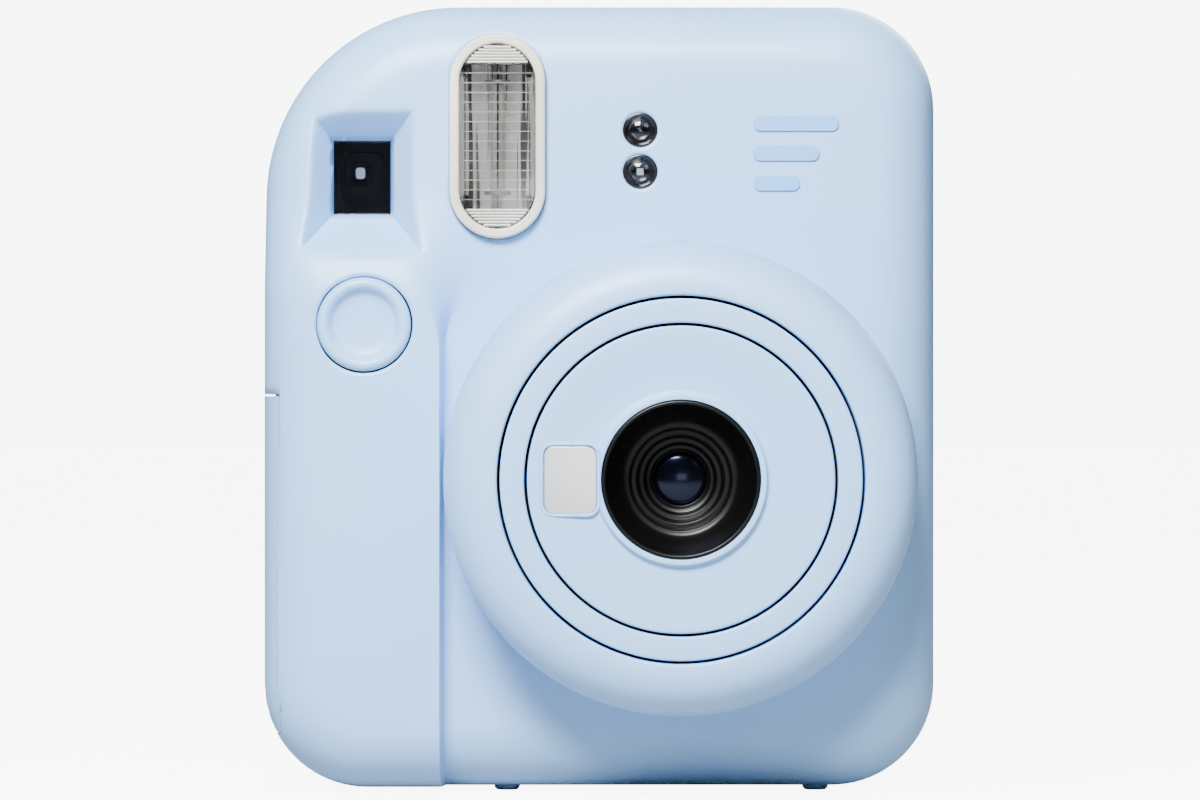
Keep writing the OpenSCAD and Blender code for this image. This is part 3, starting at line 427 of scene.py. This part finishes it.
def surfaceY(x, z):
    width = stepWidth(z)
    stepX = leftX + shellSizes["gripStep"]
    lift = (faceY - gripY) * (1 - ease(z, *shellSizes["gripFade"]))
    lift *= 1 - ease(x, stepX - width / 2, stepX + width / 2)
    d = min(max(inset(x, z), 0), edge)
    skin = faceY - lift + edge - math.sqrt(edge ** 2 - (edge - d) ** 2)
    mouthW, mouthH = shellSizes["finderMouth"]
    floorW, floorH = shellSizes["finderFloor"]
    share = min((mouthW / 2 - abs(x - finderX)) / ((mouthW - floorW) / 2),
                (mouthH / 2 - abs(z - finderZ)) / ((mouthH - floorH) / 2), 1.0)
    funnel = faceY + shellSizes["finderDepth"] * share
    if funnel < skin - 0.004:
        return skin
    return (skin + funnel + math.sqrt((skin - funnel) ** 2 + shellSizes["finderSoft"] ** 2)) / 2


def outlineLoop(d):
    loop = []
    for cx, cz, r, start in corners:
        loop += arc(cx, cz, r - d, start, start + 90, 20)
    full = []
    for a, b in zip(loop, loop[1:] + loop[:1]):
        length = math.dist(a, b)
        pieces = max(1, round(length / 0.0022))
        full += [(a[0] + (b[0] - a[0]) * i / pieces, a[1] + (b[1] - a[1]) * i / pieces)
                 for i in range(pieces)]
    return full


def frontShell():
    points, edges = [], []

    def addLine(line, closed=False):
        first = len(points)
        points.extend(line)
        edges.extend((first + i, first + i + 1) for i in range(len(line) - 1))
        if closed:
            edges.append((first + len(line) - 1, first))

    notchLow, notchHigh = doorLow[2] - shellSizes["doorGap"], doorHigh[2] + shellSizes["doorGap"]
    slotLeft, slotRight = shellSizes["slotX"]
    lugLow, lugHigh = shellSizes["lugZ"]
    outer = outlineLoop(0)
    outer += [(leftX, notchLow), (leftX, notchHigh), (leftX, lugLow)]
    outer += [(rightX, lugLow), (rightX, lugHigh), (slotLeft, topZ), (slotRight, topZ)]
    outer.sort(key=lambda p: math.atan2(p[1] - 0.06, p[0]))
    addLine(outer, True)
    for k in range(1, 13):
        addLine(outlineLoop(edge * (1 - math.cos(math.radians(7.5 * k)))), True)
    rows = [bottomZ + (topZ - bottomZ) * i / 90 for i in range(91)]
    for share in (-0.5, -0.38, -0.25, -0.12, 0, 0.12, 0.25, 0.38, 0.5):
        addLine([(leftX + shellSizes["gripStep"] + share * stepWidth(z), z) for z in rows if z < 0.1])
    mouthW, mouthH = shellSizes["finderMouth"]
    floorW, floorH = shellSizes["finderFloor"]
    levels = []
    for share in (-0.32, -0.2, -0.12, -0.06, 0, 0.06, 0.12, 0.2, 0.35, 0.55, 0.78, 1.0):
        w = (mouthW - (mouthW - floorW) * share) / 2
        h = (mouthH - (mouthH - floorH) * share) / 2
        square = [(-w, -h), (w, -h), (w, h), (-w, h)]
        ring = []
        for a, b in zip(square, square[1:] + square[:1]):
            ring += [(finderX + a[0] + (b[0] - a[0]) * i / 14, finderZ + a[1] + (b[1] - a[1]) * i / 14)
                     for i in range(14)]
        levels.append(ring)
        addLine(ring, True)
    for k in range(4):
        addLine([ring[14 * k] for ring in levels])
    stadium = stadiumOutline(flashX, flashZ, flashW + 0.0002, flashH + 0.0002, 32)
    holes = [(buttonX, buttonZ, buttonHole + 0.0003), (lensX, lensZ, domeRadius - 0.002)]
    holes += [(sensorSizes["x"], z, sensorSizes["hole"]) for z in sensorSizes["heights"]]
    for cx, cz, r in holes:
        addLine(arc(cx, cz, r, 0, 360, 96)[:-1], True)
        if r < 0.01:
            addLine(arc(cx, cz, r + 0.0006, 0, 360, 96)[:-1], True)
    addLine(stadium, True)
    addLine(stadiumOutline(flashX, flashZ, flashW + 0.0014, flashH + 0.0014, 32), True)
    notchX = leftX + shellSizes["doorReach"]
    addLine([(leftX, notchLow), (notchX, notchLow), (notchX, notchHigh), (leftX, notchHigh)])
    spacing = shellSizes["spacing"]
    for i in range(int((rightX - leftX) / spacing)):
        for j in range(int((topZ - bottomZ) / spacing)):
            x = leftX + (i + 0.5 * (j % 2)) * spacing
            z = bottomZ + j * spacing
            if inset(x, z) < edge + spacing / 2:
                continue
            if abs(x - leftX - shellSizes["gripStep"]) < stepWidth(z) / 2 + spacing / 2 and z < 0.1:
                continue
            if abs(x - finderX) < mouthW * 0.6 and abs(z - finderZ) < mouthH * 0.6:
                continue
            if any(abs(math.hypot(x - cx, z - cz) - r) < spacing for cx, cz, r in holes):
                continue
            points.append((x, z))
    flat, _, faces, _, _, _ = delaunay_2d_cdt([Vector(p) for p in points], edges, [], 0, 1e-7)
    bm = bmesh.new()
    verts = [bm.verts.new((p.x, surfaceY(p.x, p.y), p.y)) for p in flat]
    flashR = flashW / 2 + 0.0001
    flashS = flashH / 2 - flashW / 2
    for face in faces:
        cx = sum(flat[i].x for i in face) / 3
        cz = sum(flat[i].y for i in face) / 3
        if inset(cx, cz) < 0 or (cx < notchX and notchLow < cz < notchHigh):
            continue
        if any(math.hypot(cx - hx, cz - hz) < r for hx, hz, r in holes):
            continue
        if math.hypot(cx - flashX, max(abs(cz - flashZ) - flashS, 0)) < flashR:
            continue
        if abs(cx - finderX) < floorW / 2 and abs(cz - finderZ) < floorH / 2:
            continue
        bm.faces.new([verts[i] for i in face])
    bmesh.ops.delete(bm, geom=[v for v in bm.verts if not v.link_faces], context="VERTS")
    # side walls down to the seam, cut for the print slot and the strap bars
    seam = shellSizes["seam"]
    levelsY = [0.0, shellSizes["slotY"], shellSizes["lugY"], splitY - seam, splitY]
    rim = [e for e in bm.edges if len(e.link_faces) == 1
           and all(abs(inset(v.co.x, v.co.z)) < 2e-6 for v in e.verts)]
    for e in rim:
        a, b = [v.co.copy() for v in e.verts]
        mid = (a + b) / 2
        stop = splitY
        if abs(mid.z - topZ) < 1e-5 and slotLeft < mid.x < slotRight:
            stop = shellSizes["slotY"]
        if abs(mid.x) > 0.045 and lugLow < mid.z < lugHigh:
            stop = shellSizes["lugY"]
        row = [e.verts[0], e.verts[1]]
        for y in [y for y in levelsY if y <= stop + 1e-9]:
            tuck = 1 - seam / 0.05 if y == splitY else 1
            fresh = [bm.verts.new((p.x * tuck, y, (p.z - 0.06) * tuck + 0.06)) for p in (a, b)]
            bm.faces.new([row[0], row[1], fresh[1], fresh[0]])
            row = fresh
    piece = pieceFrom("frontShell", bm, absBlue, 32)
    solid = piece.modifiers.new("wall", "SOLIDIFY")
    solid.thickness = shellSizes["wall"]
    solid.offset = -1
    solid.use_even_offset = False
    return piece


place(frontShell(), "camera", "front_cover")
print("stage: front shell laid out")


# one piece with another cut out of it, kept as a plain mesh
def cutWith(piece, cutter):
    bake = piece.modifiers.new("pocket", "BOOLEAN")
    bake.object = cutter
    bake.operation = "DIFFERENCE"
    bake.solver = "EXACT"
    graph = bpy.context.evaluated_depsgraph_get()
    mesh = bpy.data.meshes.new_from_object(piece.evaluated_get(graph))
    piece.modifiers.remove(bake)
    bpy.data.objects.remove(cutter)
    bm = bmesh.new()
    bm.from_mesh(mesh)
    bmesh.ops.remove_doubles(bm, verts=bm.verts, dist=1e-6)
    bmesh.ops.recalc_face_normals(bm, faces=bm.faces)
    bm.to_mesh(piece.data)
    bm.free()
    piece.data.shade_smooth()
    piece.data.set_sharp_from_angle(angle=math.radians(30))
    return piece


def scaled(profile):
    return [(r * mm, h * mm) for r, h in profile]


def joined(name, parts):
    bm = bmesh.new()
    material = parts[0].data.materials[0]
    for part in parts:
        bm.from_mesh(part.data)
        bpy.data.objects.remove(part)
    return pieceFrom(name, bm, material)


# lens group: profiles are (radius, height out of the face) in millimetres
lensSizes = {"mark": (0.0018, 0.0007), "mirrorRim": 0.0006, "mirrorProud": 0.01975, "mirrorBed": 0.0186}
lensAxis = (lensX, faceY, lensZ)
housingProfile = ([(34, 0), (36, 0)] + arc(28.6, 12.9, 7.4, 0, 90, 28) + arc(28.2, 19.85, 0.45, 90, 180, 5)
                  + [(27.75, 12.3), (29.25, 12.3)] + arc(28.6, 12.9, 5.4, 80, 0, 12))
housing = turned("lensHousing", scaled(housingProfile), absBlue, lensAxis, 224)
place(housing, "camera", "lens_housing")
mark = slab("indexMark", roundedOutline(lensX, lensZ + domeRadius + 0.0001, *lensSizes["mark"], 0.0003, 4),
            faceY - 0.0125, faceY - 0.0040, absBlueDeep)
place(mark, "camera")

ringProfile = ([(23.65, 15), (27.3, 15), (27.3, 19.6)] + arc(26.95, 19.65, 0.35, 0, 90, 5)
               + arc(24.0, 19.65, 0.35, 90, 180, 5))
place(turned("turningRing", scaled(ringProfile), absBlue, lensAxis, 224), "ring", "lens_ring")

panelProfile = ([(12.05, 17.8), (23.2, 17.8), (23.2, 19.45)] + arc(22.85, 19.45, 0.35, 0, 90, 5)
                + [(22.0, 19.76), (20.5, 19.66), (18.5, 19.48), (16.5, 19.31), (14.8, 19.22), (13.6, 19.24)]
                + arc(13.5, 19.74, 0.5, 270, 205, 4) + arc(12.72, 19.9, 0.25, 20, 90, 4)
                + arc(12.2, 20.0, 0.15, 90, 180, 3))
panel = turned("facePanel", scaled(panelProfile), absBlue, lensAxis, 224, 30)
mirrorX, _, mirrorZ = middle("selfie_mirror")
mirrorW, _, mirrorH = size("selfie_mirror")
rimBoth = 2 * lensSizes["mirrorRim"]
bedY = faceY - lensSizes["mirrorBed"]
frameOutline = roundedOutline(mirrorX, mirrorZ, mirrorW + rimBoth, mirrorH + rimBoth, 0.0020, 8)
panel = cutWith(panel, slab("mirrorPocket", frameOutline, faceY - 0.0210, bedY, absBlue))
place(panel, "barrel", "face_panel")
mirrorFrame = slab("mirrorFrame", frameOutline, faceY - lensSizes["mirrorProud"], bedY, absBlue)
mirrorHole = roundedOutline(mirrorX, mirrorZ, mirrorW + 0.0001, mirrorH + 0.0001, 0.0014, 8)
mirrorFrame = cutWith(mirrorFrame, slab("mirrorHole", mirrorHole, faceY - 0.0210, faceY - 0.0180, absBlue))
place(bevelled(mirrorFrame, 0.00018, 2), "barrel")
place(refined("selfie_mirror", "selfieMirror", mirrorSilver, 0.00012), "barrel", "selfie_mirror")

# black cone: a smooth flared wall, then soft shelves that stop stray light
coneProfile = (arc(11.65, 19.75, 0.35, 0, 180, 8)
               + [(11.2, 19.3), (10.9, 18.7), (10.4, 17.6), (9.8, 16.5), (9.2, 15.6), (8.7, 15.0),
                  (8.5, 14.85)]
               + arc(8.05, 14.4, 0.3, 80, 170, 4) + [(7.65, 13.9), (7.4, 13.0)]
               + arc(6.9, 12.7, 0.25, 80, 170, 4) + [(6.5, 12.3), (6.2, 11.3)]
               + arc(5.75, 10.95, 0.25, 80, 170, 4) + [(5.35, 10.6), (5.1, 10.2)]
               + arc(4.75, 9.85, 0.2, 80, 170, 4)
               + [(4.3, 9.6), (4.12, 9.5), (4.12, 7), (3.4, 7), (3.4, 3), (12, 3), (12, 11.4), (20, 11.4),
                  (20, 12.7), (12, 12.7)])
place(turned("lensCone", scaled(coneProfile), lensBlack, lensAxis, 160, 25), "barrel", "lens_cone")
glassCurve = [math.radians(a) for a in range(6, 90, 6)]
glassProfile = ([(0, 7.02), (4.08, 7.02), (4.08, 8.4)]
                + [(4.08 * math.cos(a), 8.4 + 0.9 * math.sin(a)) for a in glassCurve] + [(0, 9.3)])
place(turned("frontElement", scaled(glassProfile), glassFront, lensAxis, 128, 60), "barrel", "front_element")
print("stage: lens group turned")

# button: a dished cap with a rolled edge
buttonProfile = ([(0, -3.4), (7.2, -3.4), (7.2, -0.3)] + arc(6.2, -0.2, 1.0, 0, 100, 12)
                 + [(5.55, 0.5), (5.25, 0.15), (5.05, -0.15), (4.85, -0.4), (4.5, -0.62), (3.4, -0.74),
                    (1.8, -0.8), (0, -0.82)])
place(turned("shutterButton", scaled(buttonProfile), absBlue, (buttonX, gripY, buttonZ), 128), "button",
      "shutter_button")

# flash: rim, ribbed window, faceted reflector, tube
flashSizes = {"rim": 0.0015, "ribs": 7, "ribPitch": 0.00046, "lines": 14, "linePitch": 0.0015, "strips": 14,
              "halfWidth": 0.0056, "halfHeight": 0.0112, "depth": 0.0076, "tube": 0.0012, "tubeHalf": 0.0114}
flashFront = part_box("flash_bezel")[0][1]
place(refined("flash_bezel", "flashRim", rimIvory, 0.0005, 50), "camera", "flash_bezel")
place(refined("flash_window", "flashWindow", glassClear, 0.00025, 50), "camera", "flash_window")


# low ribs inside the two round ends of the window
def flashRibs():
    bm = bmesh.new()
    half = flashW / 2 - flashSizes["rim"]
    centre = flashH / 2 - flashSizes["rim"] - half
    for side in (-1, 1):
        for k in range(flashSizes["ribs"]):
            up = 0.0114 - centre + k * flashSizes["ribPitch"]
            if up > half - 0.0004:
                continue
            reach = math.sqrt(half ** 2 - max(up, 0) ** 2) - 0.0004
            z = flashZ + side * (centre + up)
            tilt = flashSizes["ribPitch"] * 0.42
            section = [(-tilt, 0), (-tilt * 0.6, -0.00016), (0, -0.00022), (tilt * 0.6, -0.00016), (tilt, 0)]
            ends = [[bm.verts.new((flashX + sign * reach, flashFront + 0.00014 + dy, z + dz))
                     for dz, dy in section] for sign in (-1, 1)]
            for i in range(5):
                j = (i + 1) % 5
                bm.faces.new([ends[0][i], ends[0][j], ends[1][j], ends[1][i]])
            bm.faces.new(ends[0])
            bm.faces.new(ends[1][::-1])
    return pieceFrom("flashRibs", bm, rimIvory, 50)


place(flashRibs(), "camera")


# a trough of flat strips
def flashReflector():
    bm = bmesh.new()
    wide, tall, deep, strips = (flashSizes[k] for k in ("halfWidth", "halfHeight", "depth", "strips"))
    rows = []
    for z in (-tall, tall):
        rows.append([bm.verts.new((flashX + wide * u, faceY + deep * (1 - u * u), flashZ + z))
                     for u in [math.sin(math.radians(-90 + 180 * i / strips)) for i in range(strips + 1)]])
    for i in range(strips):
        bm.faces.new([rows[0][i], rows[0][i + 1], rows[1][i + 1], rows[1][i]])
    bm.faces.new(rows[0])
    bm.faces.new(rows[1])
    # the reflector's bright and grey streaks are painted reflections in the foil's colour
    piece = pieceFrom("flashReflector", bm, foilPaintedReflections, 4)
    solid = piece.modifiers.new("foil", "SOLIDIFY")
    solid.thickness = 0.0003
    solid.offset = 1
    return piece


place(flashReflector(), "camera", "flash_reflector")


def rod(name, radius, low, high, material, x=flashX, y=faceY + 0.004, segments=48):
    bm = bmesh.new()
    ends = [[bm.verts.new((x + radius * math.cos(2 * math.pi * i / segments),
                           y + radius * math.sin(2 * math.pi * i / segments), z)) for i in range(segments)]
            for z in (low, high)]
    for i in range(segments):
        j = (i + 1) % segments
        bm.faces.new([ends[0][i], ends[0][j], ends[1][j], ends[1][i]])
    bm.faces.new(ends[0][::-1])
    bm.faces.new(ends[1])
    return pieceFrom(name, bm, material, 50)


tubeLow, tubeHigh = flashZ - flashSizes["tubeHalf"], flashZ + flashSizes["tubeHalf"]
place(rod("flashTubeGlass", flashSizes["tube"], tubeLow, tubeHigh, glassClear), "camera", "flash_tube")
electrodeEnds = ((0.0015, -0.0134, -0.0114), (0.0015, 0.0114, 0.0134),  # radius, start, stop
                 (0.0005, -0.0112, -0.0085), (0.0005, 0.0085, 0.0112))
electrodes = [rod("electrode", radius, flashZ + a, flashZ + b, steel) for radius, a, b in electrodeEnds]
place(joined("flashElectrodes", electrodes), "camera")
place(rod("triggerWire", 0.00014, flashZ - 0.0112, flashZ + 0.0112, absBlack, flashX, faceY + 0.00265, 12),
      "camera")
lips = [slab("lip", roundedOutline(flashX + side * 0.0053, flashZ, 0.0004, 0.0222, 0.0001, 2),
             faceY - 0.0001, faceY + 0.0006, steel) for side in (-1, 1)]
place(joined("reflectorLips", lips), "camera")
brackets = [slab("bracket", roundedOutline(flashX + a * 0.0049, flashZ + b * 0.0101, 0.0010, 0.0020,
                                           0.0002, 2), faceY - 0.0001, faceY + 0.0010, absBlack)
            for a in (-1, 1) for b in (-1, 1)]
place(joined("reflectorBrackets", brackets), "camera")
lineUnit = slab("lineUnit", roundedOutline(flashX, flashZ - 0.00975, 0.0112, 0.00012, 0.00005, 2),
                faceY - 0.00028, faceY - 0.00016, rimIvory)
lineStep = (0, 0, flashSizes["linePitch"])
place(repeated("windowLines", lineUnit, flashSizes["lines"], lineStep, rimIvory), "camera")
backings = []
for side in (0, 180):
    half = flashW / 2 - flashSizes["rim"]
    middleZ = flashZ + (1 if side == 0 else -1) * (flashH / 2 - flashSizes["rim"] - half)
    dip = math.degrees(math.asin((0.0116 - abs(middleZ - flashZ)) / half))
    backings.append(slab("backing", arc(flashX, middleZ, half - 0.0001, side + dip, side + 180 - dip, 24),
                         faceY - 0.0002, faceY + 0.0004, steel))
place(joined("ribBackings", backings), "camera")
collars = [rod("collar", 0.0021, flashZ + z - 0.00025, flashZ + z + 0.00025, steel)
           for z in (-0.0086, 0.0086)]
place(joined("tubeCollars", collars), "camera")
place(rod("tubeCore", 0.00075, flashZ - 0.0082, flashZ + 0.0082, nylonWhite), "camera")
print("stage: flash and button built")

# viewfinder: window, black mask behind it, and the little target frame; each is width, height, corner
finderSizes = {"mask": (0.0092, 0.0118, 0.0006), "maskHole": (0.0058, 0.0082, 0.0010),
               "back": (0.0110, 0.0136, 0.0004), "frame": (0.0030, 0.0036, 0.0008),
               "patch": (0.0015, 0.0018, 0.0005), "aim": (-0.0004, 0.0008)}
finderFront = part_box("viewfinder_window")[0][1]
aimX, aimZ = finderX + finderSizes["aim"][0], finderZ + finderSizes["aim"][1]


def finderSlab(name, part, x, z, count, front, rear, material):
    outline = roundedOutline(x, z, *finderSizes[part], count)
    return slab(name, outline, finderFront + front, finderFront + rear, material)


place(refined("viewfinder_window", "finderWindow", glassLens, 0.0002), "camera", "viewfinder_window")
mask = cutWith(finderSlab("finderMask", "mask", finderX, finderZ, 5, 0.0015, 0.0021, lensBlack),
               finderSlab("maskHole", "maskHole", finderX, finderZ, 6, 0, 0.0040, lensBlack))
place(bevelled(mask, 0.0001, 1), "camera")
place(finderSlab("finderBack", "back", finderX, finderZ, 4, 0.0046, 0.0050, smokeBlack), "camera")
target = finderSlab("targetFrame", "frame", aimX, aimZ, 6, 0.0038, 0.0044, lensBlack)
place(bevelled(target, 0.00015, 2), "camera")
patch = finderSlab("targetPatch", "patch", aimX, aimZ, 6, 0.0035, 0.0038, nylonWhite)
place(bevelled(patch, 0.0001, 2), "camera")

# sensors: a smoked dish with a clear dome in it, the lower one with its die
sensorProfile = [(0, -1.1), (2.6, -1.1), (2.6, -0.15), (2.5, -0.1), (2.35, -0.12), (1.75, -0.75), (0, -0.85)]
domeProfile = [(0, -0.84), (1.6, -0.74), (1.5, -0.5), (1.1, -0.3), (0.6, -0.2), (0, -0.17)]
rings, domes = [], []
for z in sensorSizes["heights"]:
    centre = (sensorSizes["x"], faceY, z)
    rings.append(turned("dish", scaled(sensorProfile), smokeBlack, centre, 64, 25))
    domes.append(turned("dome", scaled(domeProfile), glassLens, centre, 48))
place(joined("sensorRings", rings), "camera", "sensor_windows")
place(joined("sensorDomes", domes), "camera")
dieOutline = roundedOutline(sensorSizes["x"], sensorSizes["heights"][1],
                            sensorSizes["die"], sensorSizes["die"], 0.0001, 2)
# the die wears the same foil, so it carries the painted reflection streaks too
place(slab("sensorDie", dieOutline, faceY + 0.00060, faceY + 0.00084, foilPaintedReflections), "camera")

# small CAD solids with their edges rounded
for node, name, width in (("trim_bars", "trimBars", 0.00010), ("feet", "feetPads", 0.00030),
                          ("strap_lugs", "strapPockets", 0.00025), ("door_latch", "latchSlider", 0.00030)):
    material = absBlue if node in ("strap_lugs", "feet") else absBlueDeep
    place(refined(node, name, material, width), "latch" if node == "door_latch" else "camera", node)


# a round wire wound upward between two corners of a box
def coilSpring(name, low, high, wire, turns, material, sides=8, perTurn=20):
    cx, cy = (low[0] + high[0]) / 2, (low[1] + high[1]) / 2
    mean = (high[0] - low[0]) / 2 - wire
    bm = bmesh.new()
    rings = []
    count = int(turns * perTurn)
    for i in range(count + 1):
        angle = 2 * math.pi * i / perTurn
        z = low[2] + wire + (high[2] - low[2] - 2 * wire) * i / count
        out = Vector((math.cos(angle), math.sin(angle), 0))
        core = Vector((cx, cy, z)) + out * mean
        rings.append([bm.verts.new(core + out * wire * math.cos(2 * math.pi * k / sides)
                                   + Vector((0, 0, wire * math.sin(2 * math.pi * k / sides))))
                      for k in range(sides)])
    for first, second in zip(rings, rings[1:]):
        for k in range(sides):
            j = (k + 1) % sides
            bm.faces.new([first[k], first[j], second[j], second[k]])
    bm.faces.new(rings[0])
    bm.faces.new(rings[-1])
    return pieceFrom(name, bm, material, 60)


springLow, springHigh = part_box("latch_spring")
springSizes = {"wire": 0.0002, "turns": 5}
latchSpring = coilSpring("latchSpringCoil", springLow, springHigh, springSizes["wire"], springSizes["turns"],
                         steel)
place(latchSpring, "film_door", "latch_spring")
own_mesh(latchSpring)
print("stage: viewfinder, sensors and small pieces built")

# back: thumb rest (x, z, width, height) with ridges, frames round the two windows
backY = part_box("rear_cover")[1][1]
backSizes = {"thumbRest": (-0.0345, 0.0600, 0.0150, 0.0420), "ridges": 15, "ridgePitch": 0.0026,
             "frame": 0.0011, "proud": 0.0005}
restX, restZ, restW, restH = backSizes["thumbRest"]
pad = slab("thumbRest", roundedOutline(restX, restZ, restW, restH, 0.0040, 10),
           backY - 0.0002, backY + backSizes["proud"], absBlueDeep)
place(bevelled(pad, 0.0003, 3), "camera")
ridgeOutline = roundedOutline(restX, restZ - restH / 2 + 0.0028, restW - 0.0036, 0.0011, 0.0005, 5)
ridgeUnit = slab("ridgeUnit", ridgeOutline, backY + 0.0004, backY + 0.0010, absBlueDeep)
ridges = repeated("thumbRidges", ridgeUnit, backSizes["ridges"], (0, 0, backSizes["ridgePitch"]), absBlueDeep)
place(bevelled(ridges, 0.00025, 2), "camera")


def windowFrame(name, node, body):
    cx, _, cz = middle(node)
    w, _, h = size(node)
    rim = backSizes["frame"]
    outer = slab(name, roundedOutline(cx, cz, w + 2 * rim, h + 2 * rim, 0.0016, 8),
                 backY - 0.0002, backY + backSizes["proud"], absBlueDeep)
    inner = slab("hole", roundedOutline(cx, cz, w - 0.0002, h - 0.0002, 0.0006, 6),
                 backY - 0.002, backY + 0.002, absBlueDeep)
    place(bevelled(cutWith(outer, inner), 0.0002, 2), body)


windowFrame("filmWindowFrame", "film_window", "film_door")
windowFrame("counterFrame", "counter_window", "camera")
print("stage: back details built")

# camera, light and stage
shot = bpy.data.cameras.new("shot")
shot.sensor_width = 36
shot.lens = 163
shot.clip_start = 0.01
shot.clip_end = 20
camera = bpy.data.objects.new("shot", shot)
camera.location = (0, -0.85, 0.0608)
camera.rotation_euler = (math.radians(90), 0, 0)
bpy.context.scene.collection.objects.link(camera)
bpy.context.scene.camera = camera


def softLight(name, location, target, width, height, power):
    lamp = bpy.data.lights.new(name, "AREA")
    lamp.shape = "RECTANGLE"
    lamp.size = width
    lamp.size_y = height
    lamp.energy = power
    holder = bpy.data.objects.new(name, lamp)
    holder.location = location
    holder.visible_camera = False
    holder.rotation_euler = (Vector(target) - Vector(location)).to_track_quat("-Z", "Y").to_euler()
    bpy.context.scene.collection.objects.link(holder)
    return holder


world = bpy.data.worlds.new("studio")
world.use_nodes = True
world.node_tree.nodes["Background"].inputs["Color"].default_value = rgb("#F4F6FA")
worldSeen = addNode(world.node_tree, "ShaderNodeLightPath")
worldGlow = addNode(world.node_tree, "ShaderNodeMath", {"operation": "MULTIPLY_ADD", 1: 8.5, 2: 0.06},
                    {0: worldSeen.outputs["Is Camera Ray"]})
world.node_tree.links.new(worldGlow.outputs[0], world.node_tree.nodes["Background"].inputs["Strength"])
bpy.context.scene.world = world
lights = [
    softLight("keyLight", (-0.11, -0.44, 0.44), (0, 0, 0.10), 0.24, 0.20, 15.0),
    softLight("frontCard", (0.08, -1.6, 0.03), (0, 0, 0.06), 0.26, 0.26, 0.8),
    softLight("glintCard", (0.42, -0.60, 0.46), (0, 0, 0.06), 0.28, 0.28, 0.7),
    softLight("backLight", (0.35, 0.85, 0.55), (0, 0, 0.06), 0.5, 0.5, 9.0),
]

# Painted board: matte and seamless, brighter to the eye than the light on it, so the shadow under the feet
# stays soft
floorMaterial = mouldedPlastic("paintedBoard", "#A2A3A5", "#A6A7A9", 0.9, 0.002, 0.00001)
floorTree = floorMaterial.node_tree
seen = addNode(floorTree, "ShaderNodeLightPath")
glow = addNode(floorTree, "ShaderNodeMath", {"operation": "MULTIPLY", 1: 8.0},
               {0: seen.outputs["Is Camera Ray"]})
floorTree.links.new(glow.outputs[0], floorTree.nodes["Principled BSDF"].inputs["Emission Strength"])
floorTree.nodes["Principled BSDF"].inputs["Emission Color"].default_value = rgb("#FFFFFF")
bm = bmesh.new()
floorRim = arc(0, 0, 6, 0, 355, 71)
bm.faces.new([bm.verts.new((x, y, 0)) for x, y in floorRim])
floor = pieceFrom("studioFloor", bm, floorMaterial, 60)
print("stage: finished")
